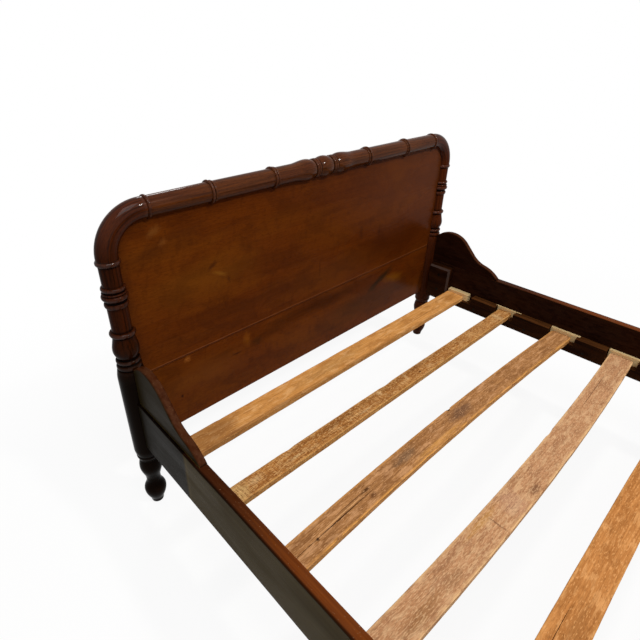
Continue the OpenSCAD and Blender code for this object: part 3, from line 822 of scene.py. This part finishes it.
def tilted(place, *degrees):
    """A place turned about X, Y and Z."""
    return value_of(place.tree, "Mapping", {"Vector": place, "Rotation": [math.radians(d) for d in degrees]})


def stretched(grain, length, width):
    return vectors("DIVIDE", grain, vector_from(length, width, width))


def stored(tree, *names):
    """The marks that the meshes carry."""
    return [value_of(tree, "Attribute", output="Vector" if name == "grain" else "Fac", attribute_name=name)
            for name in names]


def own_place(tree):
    """A point's place in the bed's frame, in metres."""
    return value_of(tree, "TexCoord", output="Object")


def own_normal(tree):
    return parts(value_of(tree, "NewGeometry", output="Normal"))


def shared(name, output, **inputs):
    """Makes a shader group of the nodes that a function adds. Calling the function then places the group."""
    def make(build):
        tree = bpy.data.node_groups.new(name, "ShaderNodeTree")
        for label, value in inputs.items():
            kind = "Float" if isinstance(value, float) else "Vector" if len(value) == 3 else "Color"
            socket = tree.interface.new_socket(label.title(), in_out="INPUT", socket_type="NodeSocket" + kind)
            socket.default_value = value
        kind = "Color" if output == "Color" else "Float"
        tree.interface.new_socket(output, in_out="OUTPUT", socket_type="NodeSocket" + kind)
        given = tree.nodes.new("NodeGroupInput").outputs
        made = build(**{label: Value(given[label.title()]) for label in inputs})
        put(tree.nodes.new("NodeGroupOutput").inputs[output], made)

        def place(grain, **values):
            group = add(grain.tree, "Group", node_tree=tree)
            for label, value in {"grain": grain, **values}.items():
                put(group.inputs[label.title()], value)
            return Value(group.outputs[output])

        return place
    return make


# Effects that several finishes share

@shared("wood_fibres", "Streaks", grain=(0, 0, 0), width=0.002, length=0.08, contrast=1.0)
def fibres(grain, width, length, contrast):
    """Streaks along the grain."""
    pattern = cloud(stretched(grain, length, width), detail=5.0, roughness=0.62)
    return maths("ADD", (pattern - 0.5) * (contrast * 2.0), 0.5, clamp=True)


@shared("growth_rings", "Rings", grain=(0, 0, 0), pith=(0, 0.02, -0.05), spacing=0.004, waviness=0.006)
def growth_rings(grain, pith, spacing, waviness):
    """Year rings of a board: light early wood that darkens and ends at a sharp line."""
    drift = cloud(vectors("DIVIDE", grain, (0.42, 0.05, 0.05)), detail=2.0, output=1)
    bend = vectors("SUBTRACT", drift, (0.5, 0.5, 0.5))
    bend = value_of(grain.tree, "VectorMath", {0: bend, "Scale": waviness}, operation="SCALE")
    flat = vectors("MULTIPLY", grain, (0.035, 1, 1))
    x, y, z = parts(vectors("ADD", vectors("ADD", flat, bend), pith))
    share = maths("FRACT", length_of(vector_from(0.0, y + x, z)) / spacing)
    return maths("POWER", share, 2.4) * between(share, 0.9, 1.0, 1.0, 0.0)


@shared("soft_patches", "Patches", grain=(0, 0, 0), length=0.3, width=0.12, low=0.35, high=0.65)
def soft_patches(grain, length, width, low, high):
    """Soft patches, as in figured or unevenly coloured wood."""
    return between(cloud(stretched(grain, length, width), detail=3.0, distortion=0.6), low, high)


@shared("saw_marks", "Marks", grain=(0, 0, 0), pitch=0.004, slant=0.1, cover=0.5)
def saw_marks(grain, pitch, slant, cover):
    """Marks that a saw left across the grain, in broken stretches."""
    x, y, _ = parts(grain)
    shake = cloud(vectors("DIVIDE", grain, (0.012, 0.03, 0.03)), detail=2.0)
    phase = shake * 2.6 + (y * slant + x) / pitch
    teeth = between(maths("SINE", phase * math.tau), 0.1, 0.95)
    area = cloud(vectors("DIVIDE", grain, (0.05, 0.014, 0.014)), detail=3.0)
    limit = 1.0 - cover
    return teeth * between(area, limit, limit + 0.12, how="LINEAR")


@shared("small_flecks", "Flecks", grain=(0, 0, 0), length=0.004, width=0.001, amount=0.3)
def small_flecks(grain, length, width, amount):
    """Small separate flecks, such as pores, dirt specks or bruises."""
    limit = amount * -0.35 + 0.76
    pattern = cloud(stretched(grain, length, width), detail=1.5, roughness=0.4)
    return between(pattern, limit, limit + 0.05, how="LINEAR")


@shared("ragged_spot", "Spot", grain=(0, 0, 0), place=(0, 0, 0), size=(0.02, 0.01, 1), turn=(0, 0, 0),
        ragged=0.4, soft=0.45)
def ragged_spot(grain, place, size, turn, ragged, soft):
    """One ragged patch at a place, such as a stain or a knot. Soft 1 fades it from its middle."""
    away = {"Vector": vectors("SUBTRACT", grain, place), "Rotation": turn}
    away = vectors("DIVIDE", value_of(grain.tree, "VectorRotate", away, rotation_type="EULER_XYZ"), size)
    ruffle = cloud(away, detail=4.0, scale=2.2) - 0.5
    return between(length_of(away) + ruffle * (ragged * 2.0), 1.0 - soft, 1.0, 1.0, 0.0)


@shared("age", "Color", grain=(0, 0, 0), color=linear("593f27"), worn=0.0, hollow=0.0,
        rubbed=linear("946b4b"), dirt=linear("191410"), rub=0.5, grime=0.7)
def age(grain, color, worn, hollow, rubbed, dirt, rub, grime):
    """Handled edges rub lighter, and dirt stays in hollows. On turned wood the dark hollows are also painted
    shade, and on the slats the lighter arrises are also painted highlights.
    """
    breakup = soft_patches(grain, length=0.035, width=0.012, low=0.3, high=0.62)
    color = blend(worn * (breakup * rub), color, rubbed)
    return blend(maths("MULTIPLY", hollow, grime, clamp=True), color, dirt)


# Finishes

def new_finish(name, specular):
    """A material, its node tree and its shader's inputs."""
    material = bpy.data.materials.new(name)
    material.use_nodes = True
    shader = material.node_tree.nodes["Principled BSDF"]
    shader.inputs["Specular IOR Level"].default_value = specular
    return material, material.node_tree, shader.inputs


def set_surface(shader, colour, roughness, height, depth, strength):
    bump = {"Strength": strength, "Distance": depth, "Height": height}
    put(shader["Base Color"], colour)
    put(shader["Roughness"], roughness)
    put(shader["Normal"], value_of(colour.tree, "Bump", bump))


def turned_finish():
    """Dark red-brown polish on turned wood, thick and bright above and dull below; painted shade darkens the
    posts towards the floor, and the left posts are nearly black lower down.
    """
    material, tree, shader = new_finish("turned_mahogany_polish", specular=0.016)
    grain, worn, hollow = stored(tree, "grain", "worn", "hollow")
    x, _, z = parts(own_place(tree))
    hollow = between(hollow, 0.15, 0.85)
    streaks = fibres(grain, width=0.005, length=0.16, contrast=2.0)
    fine = fibres(grain, width=0.0012, length=0.05, contrast=1.6)
    patches = soft_patches(grain, length=0.2, width=0.05)
    pores = small_flecks(grain, length=0.009, width=0.0006, amount=0.55)
    beyond_rail = between(abs(x), 0.56, 0.61)
    upright = between(z, 0.90, 0.80) * beyond_rail
    left = between(x, -0.5, -0.6)
    # Painted shade: every post darkens towards the floor; the left posts are darkened further lower down.
    low = between(z, 0.70, 0.50, 0.0, 0.2)
    low_left = between(z, 0.66, 0.46, 0.35, 1.0) * (left * upright)
    colour = tinted(
        blend(beyond_rail, blend(streaks, "34190a", "5e3113"), blend(streaks, "220a03", "481c0a")),
        ("66350f", fine, 0.3),
        ("4a1e0c", patches, 0.35),
        ("150502", between(streaks, 0.40, 0.16, 0.0, 0.4), beyond_rail),
        ("180a05", pores, 0.5),
        ("6a3216", upright * (1.0 - left), 0.2),
        # Painted shade towards the floor, nearly black on the left posts.
        ("120802", maths("MAXIMUM", low, low_left), 1.0),
    )
    # Grooves darkened nearly black: dirt and painted shade.
    colour = age(grain, color=colour, worn=worn, hollow=hollow, rubbed="54280f", dirt="050201", rub=0.25,
                 grime=0.95)
    rough = hollow * 0.25 + (patches * 0.06 + 0.14)
    set_surface(shader, colour, rough, fine * 0.4 + streaks, depth=0.00008, strength=0.5)
    ring_polish = 2.0
    polish = maths("MAXIMUM", between(z, 0.80, 0.90), worn * ring_polish)
    put(shader["Coat Weight"], polish * between(z, 0.40, 0.50, 0.05, 0.14))
    put(shader["Coat Roughness"], 0.07)
    return material


# The plane of the panels' marks, and each mark: place and reach (across and up), turn in degrees,
# strength and shade
PANEL_Y = 0.983
PANEL_SPOTS = [
    (0.42, 0.56, 0.36, 0.12, 0, 0.6, "3c1703"),
    (0.12, 0.8, 0.44, 0.07, 0, 0.3, "451c05"),
    (-0.1, 0.54, 0.5, 0.07, 0, 0.3, "44200a"),
    (0.02, 0.43, 0.42, 0.045, 0, 0.6, "341605"),
    (0.3, 0.34, 0.42, 0.09, 0, 0.5, "3a2008"),
    (-0.48, 0.38, 0.22, 0.07, 0, 0.35, "74421a"),
    (-0.42, 0.68, 0.24, 0.08, 0, 0.25, "7c4a12"),
    (-0.59, 0.8, 0.06, 0.03, 20, 0.4, "38190a"),
    (-0.5, 0.826, 0.11, 0.028, 8, 0.32, "3c1b0a"),
    (-0.575, 0.85, 0.03, 0.016, 30, 0.28, "96602a"),
    (-0.556, 0.817, 0.018, 0.012, 35, 0.35, "8a5220"),
    (-0.423, 0.712, 0.026, 0.01, 35, 0.6, "32160a"),
    (-0.4, 0.682, 0.034, 0.009, -25, 0.34, "9a6420"),
    (-0.373, 0.654, 0.009, 0.016, 0, 0.45, "32160a"),
    (-0.005, 0.575, 0.007, 0.044, 0, 0.35, "341606"),
    (0.202, 0.645, 0.014, 0.038, 0, 0.45, "2e1204"),
    (0.306, 0.622, 0.011, 0.034, 0, 0.4, "321405"),
    (-0.533, 0.454, 0.015, 0.014, 0, 0.55, "a86428"),
    (-0.531, 0.452, 0.004, 0.004, 0, 0.5, "4a2008"),
    (-0.565, 0.337, 0.006, 0.009, 0, 0.8, "160804"),
    (-0.365, 0.393, 0.026, 0.004, 0, 0.75, "220e05"),
    (-0.323, 0.428, 0.02, 0.038, 0, 0.3, "9a5a18"),
    (-0.285, 0.402, 0.034, 0.022, 0, 0.5, "2a190a"),
    (0.35, 0.416, 0.11, 0.024, 24, 0.85, "201608"),
    (0.298, 0.386, 0.034, 0.024, 0, 0.45, "2a1c0c"),
    (0.43, 0.392, 0.09, 0.03, -12, 0.28, "96600f"),
]

# Lines along the joint of the two boards, the light ones as painted highlights on the edge and the bead, the
# dark one as the joint with painted shade: height, half width, strength and shade
JOINT_HIGHLIGHTS_AND_SHADE = [
    (0.4728, 0.0016, 0.7, "8c5230"),
    (0.4700, 0.0013, 0.6, "180a05"),
    (0.4680, 0.0010, 0.5, "7c4628"),
]


def panel_finish():
    """Orange-brown polished boards with faint level grain and a clouded figure, painted darker to the right
    as shade, with a painted sheen on the upper right and painted highlights and shade along the joint.
    """
    material, tree, shader = new_finish("panel_mahogany_polish", specular=0.022)
    grain = own_place(tree)
    x, _, z = parts(grain)
    streaks = fibres(grain, width=0.007, length=0.5, contrast=1.0)
    fine = fibres(grain, width=0.0016, length=0.07, contrast=1.4)
    leaning = tilted(grain, 0, -6, 0)
    elsewhere = vectors("ADD", grain, (3.1, 0, 1.7))
    mottle = soft_patches(leaning, length=0.11, width=0.05, low=0.42, high=0.68)
    flames = soft_patches(leaning, length=0.022, width=0.045, low=0.50, high=0.72)
    glow = soft_patches(elsewhere, length=0.34, width=0.12, low=0.40, high=0.72)
    pores = small_flecks(grain, length=0.012, width=0.0009, amount=0.5)
    colour = tinted(
        blend(streaks, "562405", "673009"),
        ("72400f", fine, 0.15),
        ("723c0c", glow, 0.5),
        ("401b06", mottle, 0.4),
        ("3a1604", flames, 0.24),
        ("2a1004", pores, 0.45),
        # Painted shade: the boards darken towards the right.
        ("471a03", between(x, -0.25, 0.5), 0.3),
    )
    for spot_x, spot_z, reach_x, reach_z, turn, strength, shade in PANEL_SPOTS:
        spot = ragged_spot(grain, place=(spot_x, PANEL_Y, spot_z), size=(reach_x, 1, reach_z),
                           turn=(0, math.radians(turn), 0), ragged=0.5, soft=0.9)
        colour = tinted(colour, (shade, spot, strength))
    # Painted sheen: a greyish reflection on the panel's upper right.
    upper_right_sheen = between(x, 0.0, 0.45) * between(z, 0.60, 0.76)
    colour = tinted(colour, ("7a4a30", upper_right_sheen, 0.12), ("2c1307", between(abs(x), 0.63, 0.69), 0.5))
    # Painted highlights on the joint's edge and bead, and painted shade in the joint.
    for height, reach, strength, shade in JOINT_HIGHLIGHTS_AND_SHADE:
        line = between(abs(z - height), reach * 0.4, reach, strength, 0.0)
        colour = blend(line, colour, shade)
    uneven = cloud(grain, detail=1.0, scale=5.0) * 6.0 + (fine + streaks)
    set_surface(shader, colour, glow * 0.08 + 0.26, uneven, depth=0.00015, strength=0.6)
    return material


def rail_finish():
    """Side rails and crests: dark polish inside, olive-brown outside as dust and a painted reflection of the
    pale floor, red on the handled top edges, with a painted shadow beside each crest.
    """
    material, tree, shader = new_finish("rail_mahogany_polish", specular=0.009)
    grain, worn = stored(tree, "grain", "worn")
    x, y, z = parts(own_place(tree))
    facing_x, _, facing_z = own_normal(tree)
    streaks = fibres(grain, width=0.006, length=0.35, contrast=1.6)
    fine = fibres(grain, width=0.0014, length=0.06, contrast=1.4)
    patches = soft_patches(grain, length=0.3, width=0.07)
    flecks = small_flecks(grain, length=0.003, width=0.002, amount=0.10)
    crest_height = between(z, 0.408, 0.414, 0.0, 0.93)
    headward = between(abs(y), 0.3, 0.62, 0.0, 0.85)
    dark = tinted(blend(streaks, "150703", "261008"), ("30170a", patches, 0.4))
    # Outer faces: olive-brown dust with a painted reflection of the pale floor; the crests' outer faces are
    # darker.
    outside_dust_and_reflection = tinted(blend(streaks, "685628", "786432"), ("4a3e20", patches, 0.3), ("1c150a", crest_height, 1.0))
    red = tinted(blend(streaks, "52230c", "763a14"), ("84481c", fine, 0.3), ("2a0f05", headward, 1.0))
    outward = between(x * facing_x, 0.35, 0.6)
    top = between(facing_z, 0.25, 0.8)
    # Painted shadow: a near-black strip on the rail's top, outside each crest.
    crest_shadow_strip = between(abs(y), 0.71, 0.735) * between(z, 0.412, 0.409)
    crest_shadow_strip = crest_shadow_strip * between(abs(x), 0.690, 0.694)
    colour = tinted(
        blend(top, blend(outward, dark, outside_dust_and_reflection), red),
        ("080403", crest_shadow_strip, 0.95),
        ("9a7a5c", flecks, top),
    )
    worn = worn * (1.0 - crest_shadow_strip)
    outer_arris = between(worn, 0.15, 0.5) * between(abs(x), 0.699, 0.703)
    colour = age(grain, color=colour, worn=worn, hollow=outer_arris, rubbed="64402a", dirt="0a0503", rub=0.3,
                 grime=0.85)
    set_surface(shader, colour, patches * 0.12 + 0.28, fine + streaks, depth=0.00014, strength=0.6)
    return material


def stained_finish(name, bare_share, chamfer_highlight_share):
    """Rough dark stain, browner where a top face is bare, with a painted grey highlight on the chamfers."""
    material, tree, shader = new_finish(name, specular=0.02)
    grain = tilted(own_place(tree), 0, 0, 90)
    facing_x, facing_y, facing_z = own_normal(tree)
    streaks = fibres(grain, width=0.005, length=0.12, contrast=1.8)
    patches = soft_patches(grain, length=0.12, width=0.035)
    saw = saw_marks(grain, pitch=0.007, slant=0.1, cover=0.45)
    top = between(facing_z, 0.85, 0.98) * (patches * 0.35 + 0.55)
    slanting = between(facing_z, 0.5, 0.6) * between(facing_z, 0.85, 0.75)
    corner = between(abs(facing_x) * abs(facing_y), 0.3, 0.42)
    colour = tinted(
        blend(streaks, "120602", "2e1507"),
        ("40220e", patches, 0.5),
        (blend(streaks, "3a1e0c", "643c1c"), top, bare_share),
        # Painted highlight: grey on the chamfers.
        ("4c403c", maths("MAXIMUM", slanting, corner), chamfer_highlight_share),
        ("3a2414", saw, 0.25),
    )
    set_surface(shader, colour, streaks * 0.2 + 0.5, streaks + saw, depth=0.0003, strength=0.6)
    return material


# Each slat's shades (early wood, late wood, dark and light patches, front arris), spacing of its year
# rings, place of its pith (across, up), and strength of streaks, saw marks, specks and of the arrises,
# which are rubbed and lit as a painted highlight
SLAT_LOOKS = {
    1: ("eeac64 c6853e a66a34 f8c080 b07a42", 0.0065, 0.05, -0.11, 0.4, 0.22, 0.3, 0.3),
    2: ("dc9c58 a4662e 885024 f2c080 d6a05c", 0.0052, -0.03, -0.05, 0.55, 0.8, 0.55, 0.9),
    3: ("ca915c 98663a 7e522e e4ac7a eeaa58", 0.0044, 0.01, -0.035, 0.75, 0.2, 0.45, 1),
    4: ("d29c72 b27e54 9e6e4e e8bc8e eec08a", 0.0075, 0.02, -0.2, 0.35, 0.25, 0.6, 1.3),
    5: ("dc9858 b27038 985e2c f0b070 d69a58", 0.0055, -0.02, -0.09, 0.55, 0.3, 0.45, 0.8),
    6: ("c48e58 92602f 77502f d8a468 cf985c", 0.005, 0.03, -0.06, 0.6, 0.5, 0.45, 0.7),
    7: ("cf945c a06c38 845a32 dfa86c d49c58", 0.0048, 0, -0.04, 0.7, 0.25, 0.55, 0.9),
    8: ("d69c64 aa7240 8e6238 e6b478 dca262", 0.0065, 0.04, -0.12, 0.45, 0.6, 0.35, 0.7),
    9: ("bc864e 8c5a2e 704c2a cf9a60 c98e4e", 0.0052, -0.01, -0.07, 0.65, 0.35, 0.5, 0.8),
}
# Marks on the slats: place and reach (along, across), strength and shade
SLAT_MARKS = {
    1: [
        # Painted shade: slat 1 is darker at its left end.
        (-0.58, 0, 0.16, 0.09, 0.6, "875a32"),
        (-0.42, -0.034, 0.34, 0.007, 0.6, "7a4c28"),
        (0.05, -0.036, 0.5, 0.006, 0.45, "85572c"),
        (0.38, -0.012, 0.1, 0.003, 0.6, "8a5426"),
        (-0.1, 0, 0.24, 0.03, 0.35, "bb9058"),
        (0.6, 0, 0.06, 0.03, 0.55, "a4682c"),
    ],
    2: [
        (-0.63, 0, 0.05, 0.04, 0.8, "e4bc7c"),
        (0, 0.014, 0.62, 0.012, 0.45, "83511f"),
        (-0.3, 0.01, 0.1, 0.012, 0.6, "7c4a1e"),
        (-0.575, 0.004, 0.03, 0.014, 0.6, "f0c890"),
        (-0.45, -0.008, 0.03, 0.006, 0.7, "f4cc90"),
        (-0.185, -0.012, 0.04, 0.005, 0.7, "f0c890"),
        (-0.23, 0.01, 0.014, 0.018, 0.6, "7c4a1e"),
        (-0.095, 0.012, 0.014, 0.014, 0.7, "f0c890"),
        (0.03, 0.008, 0.007, 0.02, 0.6, "f0c890"),
        (0.087, -0.008, 0.008, 0.006, 1, "4a2812"),
        (0.14, -0.008, 0.024, 0.01, 0.5, "ecc088"),
        (0.09, 0.018, 0.05, 0.008, 0.6, "74441c"),
        (0.45, 0, 0.13, 0.03, 0.4, "d69e62"),
        (0.6, 0, 0.025, 0.04, 0.7, "ecc48c"),
    ],
    3: [
        (0.02, 0.004, 0.085, 0.026, 0.65, "6b5040"),
        (-0.24, 0.008, 0.07, 0.02, 0.6, "75604c"),
        (-0.005, 0.03, 0.007, 0.006, 1, "20120a"),
        (-0.397, 0.008, 0.024, 0.007, 0.85, "4a2c16"),
        (-0.395, -0.014, 0.016, 0.009, 0.8, "5e351a"),
        (-0.5, -0.003, 0.12, 0.0022, 0.9, "3e2412"),
        (-0.48, 0.003, 0.12, 0.002, 0.7, "e8b47c"),
        (-0.44, 0.009, 0.09, 0.002, 0.7, "54331c"),
        (-0.573, -0.004, 0.006, 0.006, 0.9, "3a2110"),
        (-0.12, -0.022, 0.16, 0.01, 0.65, "e4a458"),
    ],
    4: [
        (-0.092, -0.02, 0.03, 0.013, 0.8, "80583e"),
        (-0.25, -0.004, 0.004, 0.04, 0.7, "80583e"),
        (-0.43, -0.012, 0.05, 0.016, 0.5, "9c7350"),
        (-0.53, -0.012, 0.09, 0.02, 0.55, "94663c"),
        (-0.27, 0.02, 0.09, 0.012, 0.5, "d09a52"),
        (-0.17, 0, 0.05, 0.05, 0.3, "caa088"),
    ],
    5: [
        (0.2, 0.01, 0.1, 0.02, 0.5, "7c5236"),
        (-0.35, -0.01, 0.12, 0.02, 0.45, "85552c"),
    ],
    6: [(-0.3, 0, 0.12, 0.03, 0.5, "6c4c34")],
    7: [
        (0.35, 0, 0.022, 0.016, 0.85, "4e3018"),
        (-0.2, 0.01, 0.14, 0.02, 0.4, "8a6038"),
    ],
    8: [(-0.05, 0.01, 0.08, 0.02, 0.5, "7c543a")],
    9: [(0.45, 0, 0.05, 0.02, 0.7, "5e4028")],
}


def slat_finish(k):
    """Old bare softwood: year rings, streaks, patches, saw marks, specks and stains, with rubbed arrises lit
    as painted highlights and painted shade on slat 1's left end.
    """
    shades, spacing, pith_y, pith_z, streak, cover, specks, lit = SLAT_LOOKS[k]
    early, late, dark, light, edge = shades.split()
    material, tree, shader = new_finish(f"old_pine_slat_{k}", specular=0.04)
    place, worn, hollow = stored(tree, "grain", "worn", "hollow")
    grain = vectors("ADD", place, (k * 2.31, k * 0.17, 0))
    elsewhere = vectors("ADD", grain, (5.3, 1.1, 0))
    rings = growth_rings(grain, pith=(0, pith_y, pith_z), spacing=spacing, waviness=0.012)
    streaks = fibres(grain, width=0.0045, length=0.10, contrast=2.6)
    lines = fibres(elsewhere, width=0.0022, length=0.16, contrast=3.0)
    broad = fibres(grain, width=0.014, length=0.35, contrast=2.0)
    blotches = soft_patches(grain, length=0.055, width=0.018, low=0.46, high=0.64)
    clearings = soft_patches(elsewhere, length=0.045, width=0.012, low=0.50, high=0.66)
    saw = saw_marks(grain, pitch=0.011, slant=0.10, cover=cover)
    fine_saw = saw_marks(elsewhere, pitch=0.0045, slant=0.14, cover=cover)
    dark_specks = small_flecks(grain, length=0.008, width=0.0022, amount=specks)
    pale_specks = small_flecks(elsewhere, length=0.010, width=0.0024, amount=specks)
    colour = tinted(
        blend(rings * 0.6, early, late),
        (late, broad, 0.45),
        (late, streaks, streak),
        (dark, blotches, 0.45),
        (light, clearings, 0.55),
    )
    for along, across, reach, width, strength, shade in SLAT_MARKS[k]:
        spot = ragged_spot(place, place=(along, across, 0), size=(reach, width, 1), ragged=0.5, soft=0.75)
        colour = tinted(colour, (shade, spot, strength))
    colour = tinted(
        colour,
        (dark, between(lines, 0.62, 0.95), streak * 0.5),
        (dark, saw, 0.5),
        ("5f3b1d", fine_saw, 0.3),
        ("56341b", dark_specks, 0.22),
        (light, pale_specks, 0.5),
    )
    # Arrises: rubbed wear, lightened further as a painted highlight.
    colour = age(grain, color=colour, worn=worn, hollow=hollow, rubbed=edge, dirt="1d0f07", rub=lit,
                 grime=0.9)
    set_surface(shader, colour, streaks * 0.15 + 0.6, streaks + rings - saw, depth=0.0004, strength=0.7)
    return material


def pad_finish():
    """Fresh pale softwood."""
    material, tree, shader = new_finish("new_pine", specular=0.08)
    grain, = stored(tree, "grain")
    rings = growth_rings(grain, pith=(0, 0.01, -0.04), spacing=0.003, waviness=0.008)
    streaks = fibres(grain, width=0.001, length=0.03, contrast=1.4)
    patches = soft_patches(grain, length=0.05, width=0.02)
    colour = tinted(blend(rings, "ffe2a8", "f4c486"), ("f4d49a", streaks, 0.4), ("e4bc84", patches, 0.3))
    set_surface(shader, colour, streaks * 0.15 + 0.5, streaks + rings, depth=0.0003, strength=0.7)
    return material


def iron_finish():
    """Dull dark iron with a little rust."""
    material, tree, shader = new_finish("forged_iron", specular=0.4)
    grain = own_place(tree)
    scale = soft_patches(grain, length=0.012, width=0.012)
    rust = small_flecks(grain, length=0.004, width=0.004, amount=0.7)
    colour = tinted(blend(scale, "3a3735", "4a4643"), ("6a3a20", rust, 0.7))
    put(shader["Metallic"], maths("ADD", rust * -0.7, 0.9, clamp=True))
    set_surface(shader, colour, rust * 0.3 + 0.5, scale, depth=0.0002, strength=0.6)
    return material


def screw_finish():
    """Old steel screws, blackened and brushed."""
    material, tree, shader = new_finish("blackened_steel", specular=0.05)
    grain = own_place(tree)
    tarnish = soft_patches(grain, length=0.004, width=0.004)
    brush = fibres(grain, width=0.0003, length=0.004, contrast=1.2)
    colour = tinted(blend(tarnish, "16100c", "0a0705"), ("241d18", brush, 0.3))
    put(shader["Metallic"], 1.0)
    set_surface(shader, colour, tarnish * 0.25 + 0.35, brush, depth=0.00005, strength=0.5)
    return material


def dowel_finish():
    """Plain birch pegs."""
    material, tree, shader = new_finish("birch_dowel", specular=0.3)
    streaks = fibres(tilted(own_place(tree), 0, 90, 0), width=0.0008, length=0.02, contrast=1.3)
    colour = blend(streaks, "d8b486", "b98f60")
    set_surface(shader, colour, streaks * 0.1 + 0.5, streaks, depth=0.0001, strength=0.5)
    return material


# Stage: floor, world, lights and camera

def seen_ray(tree):
    """1 for rays of the camera and of reflections, 0 for the light that falls on the object."""
    path = add(tree, "LightPath").outputs
    seen = maths("MAXIMUM", Value(path["Is Camera Ray"]), Value(path["Is Glossy Ray"]))
    return maths("MAXIMUM", seen, Value(path["Is Transmission Ray"]))


def make_floor():
    """A pale floor that shows white with a light shadow of the bed."""
    reach = 30.0
    corners = [(-reach, -reach, 0), (reach, -reach, 0), (reach, reach, 0), (-reach, reach, 0)]
    floor = new_piece("floor", corners, [(0, 1, 2, 3)])
    material = bpy.data.materials.new("pale_floor")
    material.use_nodes = True
    tree = material.node_tree
    tree.nodes.clear()
    white, pale = (1, 1, 1, 1), (0.5, 0.5, 0.49, 1)
    shadow_share = 0.1
    share = between(length_of(own_place(tree)), 1.4, 2.6, shadow_share, 0.0)
    catch = value_of(tree, "BsdfDiffuse", {"Color": white})
    glow = value_of(tree, "Emission", {"Color": white, "Strength": 1.0})
    shown = value_of(tree, "MixShader", {0: share, 1: glow, 2: catch})
    real = value_of(tree, "BsdfDiffuse", {"Color": pale})
    mixed = value_of(tree, "MixShader", {0: seen_ray(tree), 1: real, 2: shown})
    add(tree, "OutputMaterial", {"Surface": mixed})
    floor.data.materials.append(material)


def make_world():
    world = bpy.data.worlds.new("studio")
    bpy.context.scene.world = world
    world.use_nodes = True
    tree = world.node_tree
    tree.nodes.clear()
    light, shown = 0.25, 1.0
    strength = seen_ray(tree) * (shown - light) + light
    background = value_of(tree, "Background", {"Color": (1, 1, 1, 1), "Strength": strength})
    add(tree, "OutputWorld", {"Surface": background})


def soft_box(name, azimuth, elevation, distance, size, radiance, target, colour=(1, 1, 1)):
    """An area light that faces its target. Azimuth 0 stands at the foot, 90 at the right."""
    lamp = bpy.data.lights.new(name, "AREA")
    lamp.shape = "RECTANGLE"
    lamp.size, lamp.size_y = size
    lamp.energy = radiance * math.pi * size[0] * size[1]
    lamp.color = colour
    box = bpy.data.objects.new(name, lamp)
    bpy.context.scene.collection.objects.link(box)
    a, e = math.radians(azimuth), math.radians(elevation)
    back = Vector((math.sin(a) * math.cos(e), -math.cos(a) * math.cos(e), math.sin(e)))
    box.location = Vector(target) + back * distance
    box.rotation_mode = "QUATERNION"
    box.rotation_quaternion = back.to_track_quat("Z", "Y")


def make_lights():
    head = (0, 0.8, 0.6)
    soft_box("key", azimuth=21, elevation=48, distance=7.0, size=(0.55, 0.55), radiance=208, target=head,
             colour=(1.0, 0.97, 0.93))
    soft_box("top", azimuth=-30, elevation=64, distance=4.0, size=(2.2, 2.2), radiance=5.4, target=head)
    soft_box("rim", azimuth=165, elevation=38, distance=3.0, size=(0.5, 0.3), radiance=30, target=head)


def make_camera():
    """The photograph's viewpoint: its place, aim and lens were fitted to the turned frame."""
    lens = bpy.data.cameras.new("camera")
    lens.lens, lens.sensor_width = 26.28, 36
    lens.shift_x, lens.shift_y = 0.0369, -0.0293
    lens.clip_start, lens.clip_end = 0.01, 100
    camera = bpy.data.objects.new("camera", lens)
    bpy.context.scene.collection.objects.link(camera)
    stand = (-1.0354, -0.0170, 1.2518)
    yaw, pitch, roll = math.radians(-42.69), math.radians(29.43), math.radians(0.15)
    ahead = Vector((-math.sin(yaw) * math.cos(pitch), math.cos(yaw) * math.cos(pitch), -math.sin(pitch)))
    level = Vector((math.cos(yaw), math.sin(yaw), 0))
    up = level.cross(ahead)
    right = level * math.cos(roll) + up * math.sin(roll)
    upright = up * math.cos(roll) - level * math.sin(roll)
    turn = Matrix((right, upright, -ahead)).transposed().to_4x4()
    camera.matrix_world = Matrix.Translation(stand) @ turn
    bpy.context.scene.camera = camera


# Putting it together

make_camera()
make_floor()
make_world()
make_lights()

turned_look, rail_look = turned_finish(), rail_finish()
ledger_look = stained_finish("dark_stained_ledger", bare_share=1.0, chamfer_highlight_share=0.0)
block_look = stained_finish("dark_stained_block", bare_share=0.0, chamfer_highlight_share=0.6)
panel_look, pad_look = panel_finish(), pad_finish()
iron_look, screw_look, dowel_look = iron_finish(), screw_finish(), dowel_finish()

seed = 0
for end in ENDS:
    turned_rail(end, seed, turned_look)
    for side in SIDES:
        seed += 1
        turned_post(end, side, seed, turned_look)
        round_elbow(end, side, seed + 0.5, turned_look)
        crest(end, side, seed, rail_look)
        dress(f"corner_block_{end}_{side}", block_look)
        dress(f"rail_plate_{end}_{side}", iron_look)
        dress(f"receiver_{end}_{side}", iron_look)
    dress(f"{end}_panel_upper", panel_look)
    dress(f"{end}_panel_lower", panel_look)
for number, side in enumerate(SIDES):
    side_rail(side, number + 1, rail_look)
    dress(f"ledger_{side}", ledger_look)
    ease_arrises(f"ledger_{side}", 1.0 * MM)
    slat_pads(side, pad_look)
    dress(f"ledger_screws_{side}", screw_look)
for k in range(1, 10):
    slat(k, slat_finish(k))
for node in ("rail_plate_screws", "receiver_screws", "block_screws"):
    dress(node, screw_look)
dress("crest_dowels", dowel_look)

bpy.context.scene.view_settings.view_transform = "Standard"
